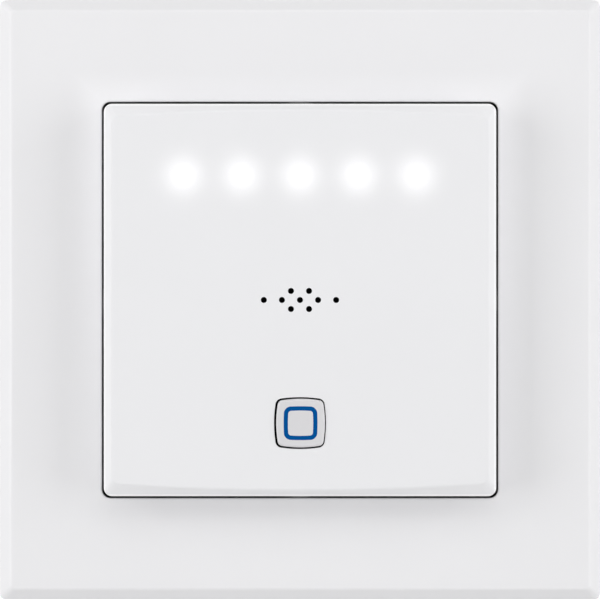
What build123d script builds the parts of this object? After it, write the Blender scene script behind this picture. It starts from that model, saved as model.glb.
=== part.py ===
from build123d import *
import os

# Smart home hub for a wall box.
# It is drawn as it hangs and is seen from the room: x to the right, y up, z out of the wall, and z = 0 on
# the wall's surface. save() turns every piece so that +Z is up and the front faces -Y. All sizes are in mm.

# --- Trim frame: the square surround that lies against the wall -----------------------------------
frame_size = 86.0            # outer width and height
frame_depth = 9.0            # from the wall to the front face
frame_wall = 1.8             # outer wall
frame_face = 1.8             # wall of the front
frame_bevel = 1.7            # 45 degree bevel round the front
frame_corner_r = 1.0         # rounded upright corners
frame_crest_corner_r = 0.6   # corners of the front face, inside the bevel
frame_crest_r = 0.6          # rounding where the bevel meets the front
window_gap = 0.55            # between the cover and the window, all round
window_corner_r = 1.15       # tighter than the cover's corner plus the gap, which opens the gap there
window_edge_r = 0.35         # rounding of the window's front edge
collar_wall = 1.3            # wall that runs back from the window
ledge_thickness = 1.4        # inner shelf which the cover clamps to the plate
foot_height = 1.0            # feet under the ledge, standing on the plate
foot_length = 6.0
foot_width = 1.6
foot_offset = 17.0           # from the middle of a side to a foot
rib_thickness = 1.0          # stiffening ribs between the collar and the outer wall
rib_depth = 2.4
rib_offset = 21.0            # from the middle of a side to a rib

# --- Mounting plate: galvanised steel, screwed to the wall box ------------------------------------
plate_size = 71.0
plate_thickness = 1.2
plate_corner_r = 3.0
plate_opening_width = 38.0
plate_opening_height = 34.0
plate_opening_r = 3.0
box_screw_spacing = 60.0     # standard distance of the wall box's screws
box_slot_width = 3.6
box_slot_length = 6.0
corner_screw_spacing = 63.0
corner_hole = 3.6
screw_head_room = 10.0       # free width round a box screw's head
screw_head_height = 3.0      # free height over the plate for that head

# --- Cover: the raised square front with the lights, the holes and the key opening ----------------
cover_size = 55.3            # the standard insert size
cover_wall = 1.6             # side walls
cover_face = 1.8             # wall of the front
cover_corner_r = 1.15
cover_inner_r = 0.6          # rounded corners inside
cover_bevel = 1.1            # height of the bevels, the same all round
side_bevel = 1.1             # width of the straight bevels, left and right
arc_bevel_mid = 0.9          # width of the bowed bevels, above and below: at mid-span
arc_bevel_end = 1.95         # and at the corners
face_corner_r = 1.2          # corners of the front face, inside the bevels
cover_crest_r = 0.45         # rounding where the bevels meet the front
glow_wall = 0.9              # thin wall in front of the lights
vent_wall = 0.9              # thin wall that holds the holes
vent_hole = 0.85
vent_pitch = 2.54
vent_margin = 0.7            # from the outermost holes to the edge of their pocket
snap_depth = 0.4             # how far the tray's snaps reach into the cover's wall
snap_clearance = 0.2
snap_length = 6.0
snap_height = 1.6
snap_offset = 14.0

# --- Electronics tray: black, carries the main board and snaps into the plate ---------------------
tray_lift = 0.3              # between the plate and the tray
tray_floor = 1.4
tray_wall = 1.3
tray_depth = 6.0
tray_gap = 0.85              # between the tray and the cover's wall
tray_corner_r = 1.2
tray_inner_r = 0.6
ledge_gap = 0.3              # between the tray and the frame's ledge
post_height = 1.0            # posts under the main board
post_diameter = 5.0
hook_width = 6.0             # latch hooks that reach through the plate
hook_thickness = 1.1
hook_barb = 0.7
hook_length = 1.6            # tip of the hook behind the plate
hook_lead_in = 0.5           # straight part of the barb, before its slope
hook_offset = 9.0            # from the middle to a hook
hook_inset = 0.6             # from the tray's side to a hook's outer face
hook_clearance = 0.3

# --- Main board -----------------------------------------------------------------------------------
board_thickness = 1.6
board_gap = 0.4              # to the tray's walls
board_corner_r = 1.0
screw_inset = 3.0            # from the board's edge to a board screw
screw_gap = 1.0              # between the light box and the upper pair's heads
screw_d = 2.0
screw_head_d = 3.8
screw_head_h = 1.3
screw_length = 3.2
thread_clearance = 0.05      # between a screw's thread and its hole, on the radius
screw_clearance = 0.1        # between a screw and a hole that it passes through, on the radius
tip_clearance = 0.1          # beyond a screw's tip

# --- Lights ---------------------------------------------------------------------------------------
led_count = 5
led_pitch = 8.2
led_row_inset = 10.15        # from the cover's upper edge to the row
led_length = 3.5
led_width = 2.8
led_height = 1.9
well_throat = 3.0            # narrow end of a well, over the LED
well_mouth = 5.0             # wide end, under the diffuser
box_wall = 1.5               # light box round the wells
led_clearance = 0.25         # round an LED in the light box
diffuser_thickness = 0.6
glow_gap = 0.05              # between the diffuser and the cover
pocket_gap = 0.3             # round the diffuser in its pocket

# --- Key ------------------------------------------------------------------------------------------
key_inset = 10.35            # from the cover's lower edge to the key's middle
key_opening = 7.3
key_opening_r = 0.93
key_gap = 0.22               # between the key and its opening, all round
key_bulge = 0.31             # how far each side bows out
key_rest = 0.08              # the key's play lets it rest this far to the right
key_proud = 0.3              # above the cover's front
key_edge_r = 0.3
key_travel = 0.5
ring_size = 4.76
ring_width = 0.6
ring_bulge = 0.08
ring_depth = 1.0             # seat of the light ring in the key
ring_corner_r = 1.02
flange_lap = 0.6             # how far the key's flange reaches behind the cover
flange_thickness = 0.8
flange_gap = 0.05
flange_corner_r = 1.2
guide_gap = 0.25             # round the flange in its guide
guide_wall = 0.8
guide_depth = 1.9
stem_size = 3.6
switch_size = 6.0
switch_body_h = 3.1
switch_cap_t = 0.3
switch_height = 4.3          # from the board to the plunger's top
plunger_d = 3.4
plunger_flange_d = 4.4
plunger_flange_h = 1.2
plunger_gap = 0.1            # round the plunger
key_led_length = 2.0
key_led_width = 1.2
key_led_height = 0.7
key_led_gap = 1.2            # from the switch to a key LED

# --- Air sensor -----------------------------------------------------------------------------------
sensor_size = 10.1
sensor_height = 6.5
sensor_base_t = 0.8
sensor_corner_r = 0.8
sensor_port = 3.0
sensor_port_depth = 0.4
sensor_gap = 0.7             # between the sensor and the cover's inner face
gasket_gap = 0.3             # round the sensor in its foam gasket
gasket_wall = 1.9
filter_thickness = 0.25
filter_gap = 0.2             # round the filter in its pocket

# --- Radio, processor, antenna --------------------------------------------------------------------
radio_width = 10.5
radio_height = 16.0
radio_y = -2.6
radio_board_t = 0.8
shield_margin = 1.0
shield_height = 2.0
shield_wall = 0.3
shield_corner_r = 0.5
chip_size = 7.0
chip_height = 1.4
chip_lift = 0.15
chip_edge = 0.15             # bevel round the top
lead_count = 8               # on each side
lead_pitch = 0.8
lead_width = 0.35
lead_thickness = 0.2
lead_reach = 1.0
lead_knee = 0.35             # from the chip to a lead's bend
antenna_d = 0.8
antenna_inset = 3.7          # from the board's edge to its upright run
antenna_start_x = -7.6       # its foot on the board
antenna_y = -16.0            # its level run
antenna_rise = 9.0           # length of the upright run
antenna_lift = 2.6           # height over the board
antenna_bend_r = 1.6

# --- Header between the main board and the power board --------------------------------------------
header_count = 6
header_pitch = 2.54
header_y = -10.0
header_width = 2.5
header_height = 2.5
header_room = 1.25           # round the header in the tray's floor
header_gap = 0.3             # round the header in the power case's lid
pin_size = 0.64
pin_tail = 0.8               # above the main board
pin_gap = 0.15               # round a pin in its hole
socket_gap = 0.5             # between the header and the socket
socket_floor = 0.6           # below a pin's tip in the socket

# --- Power case, in the wall box ------------------------------------------------------------------
case_width = 50.0
case_height = 46.0
case_corner_cut = 6.0        # taken off the corners, for a round wall box
case_wall = 1.6
case_edge = 1.2              # bevel round the rear
lid_thickness = 1.2
lid_gap = 0.15
peg_height = 2.2             # pegs of the lid that hold the power board
peg_d = 3.0
boss_inset = 3.2             # from the case's side to a screw boss
boss_y = 5.0
boss_d = 5.0
plate_screw_d = 2.5
plate_screw_head_d = 4.6
plate_screw_length = 8.0
power_board_t = 1.6
power_board_gap = 0.5
column_inset = 5.2           # from the case's upper and lower sides to a column under the power board
column_gap = 0.4             # between a column and the terminal block's flange
column_d = 4.0

# --- Parts on the power board ---------------------------------------------------------------------
part_gap = 1.0               # between neighbours on the power board
lead_wire_d = 0.7
lead_bend_r = 0.7
component_gap = 1.9          # between the tallest part and the case's rear wall
core_width = 16.0
core_height = 13.5
core_thickness = 5.0
core_leg = 4.2
core_slot = 2.2              # depth of the core's outer limb
bobbin_width = 14.0
bobbin_flange = 1.2
bobbin_foot = 1.6
transformer_x = -8.3
transformer_inset = 14.4     # from the case's upper side to the transformer's middle
winding_gap = 0.2
coil_gap = 0.4               # between the coil and the core's limbs
coil_corner_r = 2.2
bulk_count = 2
bulk_d = 8.0
bulk_height = 12.0
bulk_inset = 12.0            # from the case's upper side to the middle of the bulk capacitors
bulk_edge = 0.6              # bevel round their rear end
film_width = 13.0
film_thickness = 6.0
film_height = 11.0
film_x = 10.0
fuse_d = 3.4
fuse_length = 9.0
fuse_x = -10.5
fuse_lift = 0.6
varistor_d = 6.5
varistor_t = 3.4
varistor_pitch = 3.2         # between its wires
varistor_x = 12.0
varistor_lift = 0.5

# --- Terminal block, on the rear ------------------------------------------------------------------
block_width = 26.0
block_height = 13.0
block_inset = 11.5           # from the case's lower side to the block's middle
block_edge = 0.6             # bevel round its rear face
block_groove = 0.8           # groove between the two poles: width and depth
block_proud = 9.0            # behind the case
block_reach = 7.0            # inside the case
block_flange = 1.0
block_gap = 0.15
entry_d = 3.0                # wire entries
entry_depth = 6.0
entry_funnel = 0.4           # bevel at an entry's mouth
entry_pitch = 5.6            # between the two entries of a pole
entry_y = -2.4               # below the block's middle
pole_x = 6.4                 # from the block's middle to a pole
chamber_width = 9.2
chamber_height = 9.8
button_width = 4.0
button_height = 2.6
button_y = 2.9               # above the block's middle
button_gap = 0.12            # round a button in its slot
button_proud = 0.8
button_travel = 0.7
button_lug = 0.7             # stops that keep a button in its slot
button_lug_h = 1.2
button_nose = 2.4            # reach of a button into the chamber
spring_gap = 0.3             # between a pressed button and the springs
spring_t = 0.3
spring_width = 3.2
spring_drop = 3.6            # depth of the spring's slanted leg
busbar_t = 0.6
busbar_side_gap = 0.3
busbar_pin = 1.2

# --- Levels and sizes that follow from the values above -------------------------------------------
tray_bottom = plate_thickness + tray_lift
tray_inside = tray_bottom + tray_floor
tray_rim = tray_bottom + tray_depth
board_bottom = tray_inside + post_height
board_top = board_bottom + board_thickness
ledge_bottom = plate_thickness + foot_height
ledge_top = ledge_bottom + ledge_thickness
cover_ceiling = board_top + sensor_height + sensor_gap
cover_front = cover_ceiling + cover_face
pocket_top = cover_front - glow_wall
vent_top = cover_front - vent_wall

window_size = cover_size + 2 * window_gap
collar_size = window_size + 2 * collar_wall
cover_inside = cover_size - 2 * cover_wall
tray_size = cover_inside - 2 * tray_gap
tray_inner = tray_size - 2 * tray_wall
ledge_opening = tray_size + 2 * ledge_gap
board_size = tray_inner - 2 * board_gap

led_row_y = cover_size / 2 - led_row_inset
led_places = [((i - (led_count - 1) / 2) * led_pitch, led_row_y) for i in range(led_count)]
light_box_length = (led_count - 1) * led_pitch + well_mouth + 2 * box_wall
light_box_width = well_mouth + 2 * box_wall
diffuser_top = pocket_top - glow_gap
light_box_top = diffuser_top - diffuser_thickness

vent_places = [(i * vent_pitch, 0) for i in (-2, -1, 0, 1, 2)]
vent_places += [(i * vent_pitch / 2, j * vent_pitch / 2) for i in (-1, 1) for j in (-1, 1)]
vent_width = 4 * vent_pitch + vent_hole + 2 * vent_margin
vent_height = vent_pitch + vent_hole + 2 * vent_margin

key_y = key_inset - cover_size / 2
key_size = key_opening - 2 * key_gap
flange_size = key_opening + 2 * flange_lap
flange_top = cover_ceiling - flange_gap
flange_bottom = flange_top - flange_thickness
key_top = cover_front + key_proud
plunger_top = board_top + switch_height
switch_body_top = board_top + switch_body_h
switch_cap_top = switch_body_top + switch_cap_t

gasket_width = max(vent_width, sensor_size + 2 * gasket_gap) + 2 * gasket_wall
gasket_height = max(vent_height, sensor_size + 2 * gasket_gap) + 2 * gasket_wall
radio_x = (gasket_width + board_size) / 4
chip_x = -radio_x
antenna_x = antenna_inset - board_size / 2

screw_corner = board_size / 2 - screw_inset
screw_top = led_row_y - light_box_width / 2 - screw_gap - screw_head_d / 2
screw_places = [(sx * screw_corner, y) for sx in (-1, 1) for y in (screw_top, -screw_corner)]
header_length = header_count * header_pitch
header_bottom = board_bottom - header_height
pin_places = [((i - (header_count - 1) / 2) * header_pitch, header_y) for i in range(header_count)]

lid_bottom = -lid_thickness
power_board_top = lid_bottom - peg_height
power_board_bottom = power_board_top - power_board_t
tallest_part = max(core_height, bulk_height, film_height)
case_floor = power_board_bottom - tallest_part - component_gap
case_back = case_floor - case_wall
case_diameter = (case_width ** 2 + case_height ** 2) ** 0.5 - 2 * case_corner_cut
boss_x = case_width / 2 - boss_inset
boss_places = [(sx * boss_x, sy * boss_y) for sx in (-1, 1) for sy in (-1, 1)]
column_x = block_width / 2 + block_flange + column_gap + column_d / 2
column_y = case_height / 2 - column_inset
column_places = [(sx * column_x, sy * column_y) for sx in (-1, 1) for sy in (-1, 1)]
transformer_y = case_height / 2 - transformer_inset
bulk_y = case_height / 2 - bulk_inset
block_y = block_inset - case_height / 2
block_back = case_back - block_proud
block_front = case_floor + block_reach
chamber_floor = block_back + entry_depth
button_tip = chamber_floor + button_nose
spring_start = button_tip + button_travel + spring_gap
entry_places = [(sx * (pole_x + i * entry_pitch / 2), block_y + entry_y) for sx in (-1, 1) for i in (-1, 1)]


# --- Small helpers --------------------------------------------------------------------------------
def block(width, height, bottom, top, x=0, y=0, corner_r=0):
    """A block between two levels, centred on (x, y)."""
    outline = RectangleRounded(width, height, corner_r) if corner_r else Rectangle(width, height)
    return Pos(x, y, bottom) * extrude(outline, top - bottom)


def rod(diameter, bottom, top, x=0, y=0):
    """A round rod between two levels."""
    return Pos(x, y, bottom) * extrude(Circle(diameter / 2), top - bottom)


def taper(low_d, high_d, bottom, top, x=0, y=0):
    """A round taper between two levels."""
    outline = Polygon((0, bottom), (low_d / 2, bottom), (high_d / 2, top), (0, top), align=None)
    return Pos(x, y, 0) * revolve(Plane.XZ * outline, Axis.Z)


def four_sides(shape):
    """The shape on all four sides of the middle."""
    return [Rot(0, 0, turn) * shape for turn in (0, 90, 180, 270)]


def soft_square(size, bulge, corner_r):
    """A square outline with rounded corners whose sides bow out by bulge."""
    corner = size / 2 - bulge
    side = ThreePointArc((corner, -corner), (size / 2, 0), (corner, corner))
    outline = make_face([edge for turned in four_sides(side) for edge in turned.edges()])
    return fillet(outline.vertices(), corner_r)


def raised(low, high, bottom, bevel, top):
    """An outline raised straight up to a bevel, which narrows it to a second outline at the top."""
    shoulder = top - bevel
    body = Pos(0, 0, bottom) * extrude(low, shoulder - bottom)
    return body + loft([Pos(0, 0, shoulder) * low, Pos(0, 0, top) * high], ruled=True)


def wire(points, diameter, bend_r):
    """Round wire along a route whose corners are bent to bend_r."""
    path = FilletPolyline(*points, radius=bend_r)
    return sweep(Plane(path @ 0, z_dir=path % 0) * Circle(diameter / 2), path)


def group(solids):
    """Separate solids of one kind, kept together as one piece's group."""
    return Compound([solid for shape in solids for solid in shape.solids()])


def save(shape, name):
    """Turn a piece upright and write it."""
    export_step(Plane.XZ.location * shape, f"parts/{name}.step")


# --- Frame and plate ------------------------------------------------------------------------------
def make_frame():
    """Trim frame: bevelled front with a window, a collar behind it, and a ledge on feet inside."""
    crest = frame_size - 2 * frame_bevel
    frame = raised(RectangleRounded(frame_size, frame_size, frame_corner_r),
                   RectangleRounded(crest, crest, frame_crest_corner_r), 0, frame_bevel, frame_depth)
    frame = fillet(frame.faces().sort_by(Axis.Z)[-1].edges(), frame_crest_r)

    inside = frame_size - 2 * frame_wall
    frame -= block(inside, inside, 0, frame_depth - frame_face)
    frame -= block(window_size, window_size, 0, frame_depth, corner_r=window_corner_r)
    window = frame.faces().sort_by(Axis.Z)[-1].inner_wires()[0]
    frame = fillet(window.edges(), window_edge_r)

    hidden_top = frame_depth - frame_face
    collar = block(collar_size, collar_size, ledge_bottom, hidden_top, corner_r=window_corner_r + collar_wall)
    collar -= block(window_size, window_size, ledge_top, hidden_top, corner_r=window_corner_r)
    collar -= block(ledge_opening, ledge_opening, ledge_bottom, ledge_top, corner_r=tray_corner_r + ledge_gap)

    foot_y = (window_size + ledge_opening) / 4
    foot = block(foot_length, foot_width, plate_thickness, ledge_bottom, foot_offset, foot_y)
    feet = four_sides(foot) + four_sides(mirror(foot, Plane.YZ))

    rib_span = (inside - collar_size) / 2
    rib_y = (inside + collar_size) / 4
    rib = block(rib_thickness, rib_span, hidden_top - rib_depth, hidden_top, rib_offset, rib_y)
    ribs = four_sides(rib) + four_sides(mirror(rib, Plane.YZ))

    notch_top = plate_thickness + screw_head_height
    notch = block(screw_head_room, screw_head_room, plate_thickness, notch_top, box_screw_spacing / 2)
    return (frame + collar + feet + ribs) - four_sides(notch)


def make_mounting_plate():
    """Steel plate with an opening, slots for the wall box's screws and slots for the tray's hooks."""
    plate = block(plate_size, plate_size, 0, plate_thickness, corner_r=plate_corner_r)
    plate -= block(plate_opening_width, plate_opening_height, 0, plate_thickness, corner_r=plate_opening_r)
    slot = extrude(SlotOverall(box_slot_length, box_slot_width), plate_thickness)
    plate -= four_sides(Pos(box_screw_spacing / 2, 0, 0) * slot)
    half = corner_screw_spacing / 2
    plate -= four_sides(rod(corner_hole, 0, plate_thickness, half, half))
    plate -= [hook_slot(sx, sy) for sx in (-1, 1) for sy in (-1, 1)]
    for x, y in boss_places:
        plate -= countersunk(x, y, plate_thickness, thread_clearance)
    return plate


def hook_slot(sx, sy):
    """Opening in the plate for one latch hook."""
    outer = tray_size / 2 - hook_inset + hook_barb + hook_clearance
    inner = tray_size / 2 - hook_inset - hook_thickness - hook_clearance
    width = hook_width + 2 * hook_clearance
    return block(width, outer - inner, 0, plate_thickness, sx * hook_offset, sy * (outer + inner) / 2)


def countersunk(x, y, length, clearance=0):
    """A countersunk screw flush with the plate's front, or its hole where a clearance is given."""
    sink = (plate_screw_head_d - plate_screw_d) / 2
    shank_d = plate_screw_d + 2 * clearance
    head_d = plate_screw_head_d + 2 * clearance
    head = taper(shank_d, head_d, plate_thickness - sink, plate_thickness, x, y)
    return head + rod(shank_d, plate_thickness - length, plate_thickness - sink, x, y)


# --- Cover ----------------------------------------------------------------------------------------
def make_cover():
    """Cover: bevels that leave a front with bowed upper and lower edges, and everything that is cut in it."""
    outline = RectangleRounded(cover_size, cover_size, cover_corner_r)
    cover = raised(outline, cover_face_outline(), ledge_top, cover_bevel, cover_front)
    cover = fillet(cover.faces().sort_by(Axis.Z)[-1].edges(), cover_crest_r)

    cover -= block(cover_inside, cover_inside, ledge_top, cover_ceiling, corner_r=cover_inner_r)
    pocket_length = light_box_length + 2 * pocket_gap
    pocket_width = light_box_width + 2 * pocket_gap
    cover -= block(pocket_length, pocket_width, cover_ceiling, pocket_top, 0, led_row_y)
    cover -= block(vent_width, vent_height, cover_ceiling, vent_top)
    cover -= [rod(vent_hole, vent_top, cover_front, x, y) for x, y in vent_places]

    guide_inside = flange_size + 2 * guide_gap
    guide_outside = guide_inside + 2 * guide_wall
    guide_bottom = cover_ceiling - guide_depth
    guide_r = flange_corner_r + guide_wall
    guide = block(guide_outside, guide_outside, guide_bottom, cover_ceiling, corner_r=guide_r)
    guide -= block(guide_inside, guide_inside, guide_bottom, cover_ceiling, corner_r=flange_corner_r)
    cover += Pos(0, key_y, 0) * guide
    opening = extrude(soft_square(key_opening, key_bulge, key_opening_r), cover_front - cover_ceiling)
    cover -= Pos(0, key_y, cover_ceiling) * opening

    snap_span = snap_length + 2 * snap_clearance
    recess_depth = snap_depth + snap_clearance
    middle = cover_inside / 2 + recess_depth / 2
    low = snap_level() - snap_clearance
    high = snap_level() + snap_height + snap_clearance
    for sx in (-1, 1):
        for sy in (-1, 1):
            cover -= block(recess_depth, snap_span, low, high, sx * middle, sy * snap_offset)
    return cover


def cover_face_outline():
    """Outline of the flat front: upright sides, and bowed edges above and below."""
    side = cover_size / 2 - side_bevel
    end = cover_size / 2 - arc_bevel_end
    mid = cover_size / 2 - arc_bevel_mid
    edges = [ThreePointArc((-side, end), (0, mid), (side, end)), Line((side, end), (side, -end)),
             ThreePointArc((side, -end), (0, -mid), (-side, -end)), Line((-side, -end), (-side, end))]
    outline = make_face(edges)
    return fillet(outline.vertices(), face_corner_r)


def snap_level():
    """Lowest edge of the tray's snaps."""
    return (ledge_top + tray_rim - snap_height) / 2


# --- Tray and main board --------------------------------------------------------------------------
def make_tray():
    """Electronics tray: posts for the board, an opening for the header, latch hooks and snaps."""
    tray = block(tray_size, tray_size, tray_bottom, tray_rim, corner_r=tray_corner_r)
    tray -= block(tray_inner, tray_inner, tray_inside, tray_rim, corner_r=tray_inner_r)
    tray += [rod(post_diameter, tray_inside, board_bottom, x, y) for x, y in screw_places]
    pilot = screw_d + 2 * thread_clearance
    tray -= [rod(pilot, tray_bottom, board_bottom, x, y) for x, y in screw_places]
    tray -= block(header_length + 2 * header_room, header_width + 2 * header_room, tray_bottom, tray_inside,
                  0, header_y)
    tray += [latch_hook(sx, sy) for sx in (-1, 1) for sy in (-1, 1)]
    tray += [snap(sx, sy) for sx in (-1, 1) for sy in (-1, 1)]
    return tray


def latch_hook(sx, sy):
    """A springy hook that passes through the plate and catches behind it."""
    face = tray_size / 2 - hook_inset
    catch = -hook_clearance / 2
    tip = catch - hook_length
    outline = Polygon((face - hook_thickness, tray_inside), (face - hook_thickness, tip), (face, tip),
                      (face + hook_barb, catch - hook_lead_in), (face + hook_barb, catch), (face, catch),
                      (face, tray_inside), align=None)
    hook = extrude(Plane.YZ * outline, hook_width / 2, both=True)
    if sy < 0:
        hook = mirror(hook, Plane.XZ)
    return Pos(sx * hook_offset, 0, 0) * hook


def snap(sx, sy):
    """A wedge on the tray's side that snaps into the cover's wall."""
    reach = tray_gap + snap_depth
    low = snap_level()
    side = tray_size / 2
    outline = Polygon((side - tray_wall / 2, low), (side + reach, low), (side + reach, low + snap_height / 2),
                      (side, low + snap_height), (side - tray_wall / 2, low + snap_height), align=None)
    wedge = Pos(0, sy * snap_offset, 0) * extrude(Plane.XZ * outline, snap_length / 2, both=True)
    return wedge if sx > 0 else mirror(wedge, Plane.YZ)


def make_main_board():
    """Main board with holes for its screws and for the header's pins."""
    board = block(board_size, board_size, board_bottom, board_top, corner_r=board_corner_r)
    clearance_hole = screw_d + 2 * screw_clearance
    board -= [rod(clearance_hole, board_bottom, board_top, x, y) for x, y in screw_places]
    pin_hole = pin_size + 2 * pin_gap
    board -= [block(pin_hole, pin_hole, board_bottom, board_top, x, y) for x, y in pin_places]
    return board


def make_board_screws():
    """Pan-head screws that hold the board on the tray's posts."""
    head = rod(screw_head_d, board_top, board_top + screw_head_h)
    screw = head + rod(screw_d, board_top - screw_length, board_top)
    return group([Pos(x, y, 0) * screw for x, y in screw_places])


# --- Lights ---------------------------------------------------------------------------------------
def make_indicator_leds():
    """Five LEDs in a row."""
    led = block(led_length, led_width, board_top, board_top + led_height)
    return group([Pos(x, y, 0) * led for x, y in led_places])


def make_light_box():
    """White block that keeps the LEDs' light apart, with a flared well over each."""
    box = block(light_box_length, light_box_width, board_top, light_box_top, 0, led_row_y)
    pocket_level = board_top + led_height + led_clearance
    pocket_length = led_length + 2 * led_clearance
    pocket_width = led_width + 2 * led_clearance
    for x, y in led_places:
        box -= block(pocket_length, pocket_width, board_top, pocket_level, x, y)
        box -= taper(well_throat, well_mouth, pocket_level, light_box_top, x, y)
    return box


def make_diffuser_strip():
    """Milky strip over the wells."""
    return block(light_box_length, light_box_width, light_box_top, diffuser_top, 0, led_row_y)


# --- Key ------------------------------------------------------------------------------------------
def ring_solid():
    """The light ring's body, which is also its seat."""
    outline = soft_square(ring_size, ring_bulge, ring_corner_r)
    outline -= soft_square(ring_size - 2 * ring_width, ring_bulge, ring_corner_r - ring_width)
    return Pos(key_rest, key_y, key_top - ring_depth) * extrude(outline, ring_depth)


def make_key_cap():
    """Key cap: soft square with a rounded edge, a flange behind the cover and a stem."""
    cap = extrude(soft_square(key_size, key_bulge, key_opening_r - key_gap), key_top - flange_top)
    cap = fillet(cap.faces().sort_by(Axis.Z)[-1].edges(), key_edge_r)
    cap = Pos(0, 0, flange_top) * cap
    cap += block(flange_size, flange_size, flange_bottom, flange_top, corner_r=flange_corner_r)
    cap += block(stem_size, stem_size, plunger_top, flange_bottom)
    return Pos(key_rest, key_y, 0) * cap - ring_solid()


def make_switch_body():
    """Housing of the key's switch, with a round well for the plunger."""
    body = block(switch_size, switch_size, board_top, switch_body_top, 0, key_y)
    well_floor = switch_body_top - plunger_gap / 2 - plunger_flange_h - key_travel - plunger_gap
    return body - rod(plunger_flange_d + 2 * plunger_gap, well_floor, switch_body_top, 0, key_y)


def make_switch_cap():
    """Metal cap of the switch."""
    cap = block(switch_size, switch_size, switch_body_top, switch_cap_top, 0, key_y)
    return cap - rod(plunger_d + 2 * plunger_gap, switch_body_top, switch_cap_top, 0, key_y)


def make_switch_plunger():
    """Plunger that the key's stem stands on."""
    top = switch_body_top - plunger_gap / 2
    flange = rod(plunger_flange_d, top - plunger_flange_h, top, 0, key_y)
    return flange + rod(plunger_d, top, plunger_top, 0, key_y)


def make_key_leds():
    """Small LEDs beside the switch, which light the ring."""
    reach = switch_size / 2 + key_led_gap + key_led_width / 2
    led = block(key_led_width, key_led_length, board_top, board_top + key_led_height, reach)
    return Pos(0, key_y, 0) * group([led, Rot(0, 0, 180) * led])


# --- Air sensor -----------------------------------------------------------------------------------
def make_sensor_base():
    """Base board of the air sensor."""
    return block(sensor_size, sensor_size, board_top, board_top + sensor_base_t)


def make_sensor_can():
    """Metal can of the air sensor, with a round port in its top."""
    top = board_top + sensor_height
    can = block(sensor_size, sensor_size, board_top + sensor_base_t, top, corner_r=sensor_corner_r)
    return can - rod(sensor_port, top - sensor_port_depth, top)


def make_sensor_gasket():
    """Foam sleeve from the board to the cover, so that the sensor breathes only through the holes."""
    inner_width = gasket_width - 2 * gasket_wall
    inner_height = gasket_height - 2 * gasket_wall
    sleeve = block(gasket_width, gasket_height, board_top, cover_ceiling, corner_r=gasket_wall)
    return sleeve - block(inner_width, inner_height, board_top, cover_ceiling)


def make_dust_filter():
    """Black mesh behind the holes, glued into their pocket."""
    width = vent_width - 2 * filter_gap
    height = vent_height - 2 * filter_gap
    return block(width, height, vent_top - filter_thickness, vent_top)


# --- Radio, processor, antenna --------------------------------------------------------------------
def make_radio_board():
    """Board of the radio module."""
    return block(radio_width, radio_height, board_top, board_top + radio_board_t, radio_x, radio_y)


def make_radio_shield():
    """Sheet-metal can over the radio."""
    width = radio_width - 2 * shield_margin
    height = radio_height - 2 * shield_margin
    base = board_top + radio_board_t
    top = base + shield_height
    can = block(width, height, base, top, corner_r=shield_corner_r)
    can -= block(width - 2 * shield_wall, height - 2 * shield_wall, base, top - shield_wall)
    return Pos(radio_x, radio_y, 0) * can


def make_antenna():
    """Formed wire antenna: up from the board, along it, and up the side."""
    level = board_top + antenna_lift
    points = [(antenna_start_x, antenna_y, board_top), (antenna_start_x, antenna_y, level),
              (antenna_x, antenna_y, level), (antenna_x, antenna_y + antenna_rise, level)]
    return wire(points, antenna_d, antenna_bend_r)


def make_processor():
    """Body of the processor."""
    base = board_top + chip_lift
    chip = block(chip_size, chip_size, base, base + chip_height, chip_x)
    return chamfer(chip.faces().sort_by(Axis.Z)[-1].edges(), chip_edge)


def make_processor_leads():
    """Gull-wing leads on the processor's four sides."""
    side = chip_size / 2
    high = board_top + chip_lift + chip_height / 2
    knee = side + lead_knee
    shin = knee + lead_thickness
    toe = side + lead_reach
    foot = board_top + lead_thickness
    outline = Polygon((side, high), (shin, high), (shin, foot), (toe, foot), (toe, board_top),
                      (knee, board_top), (knee, high - lead_thickness), (side, high - lead_thickness),
                      align=None)
    lead = extrude(Plane.XZ * outline, lead_width / 2, both=True)
    row = [Pos(0, (i - (lead_count - 1) / 2) * lead_pitch, 0) * lead for i in range(lead_count)]
    return Pos(chip_x, 0, 0) * group([turned for lead in row for turned in four_sides(lead)])


# --- Header ---------------------------------------------------------------------------------------
def make_header_strip():
    """Plastic strip of the header, under the main board."""
    strip = block(header_length, header_width, header_bottom, board_bottom, 0, header_y)
    return strip - [block(pin_size, pin_size, header_bottom, board_bottom, x, y) for x, y in pin_places]


def make_header_pins():
    """Square pins from above the main board into the socket."""
    tip = power_board_top + socket_floor
    return group([block(pin_size, pin_size, tip, board_top + pin_tail, x, y) for x, y in pin_places])


def make_socket_strip():
    """Socket on the power board that takes the header's pins."""
    top = header_bottom - socket_gap
    strip = block(header_length, header_width, power_board_top, top, 0, header_y)
    hole = pin_size + 2 * pin_gap
    return strip - [block(hole, hole, power_board_top + socket_floor, top, x, y) for x, y in pin_places]


# --- Power case -----------------------------------------------------------------------------------
def case_outline(inset):
    """The case's outline, stepped in by inset: a rectangle clipped by a circle."""
    width = case_width - 2 * inset
    height = case_height - 2 * inset
    return Rectangle(width, height) & Circle(case_diameter / 2 - inset)


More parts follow.
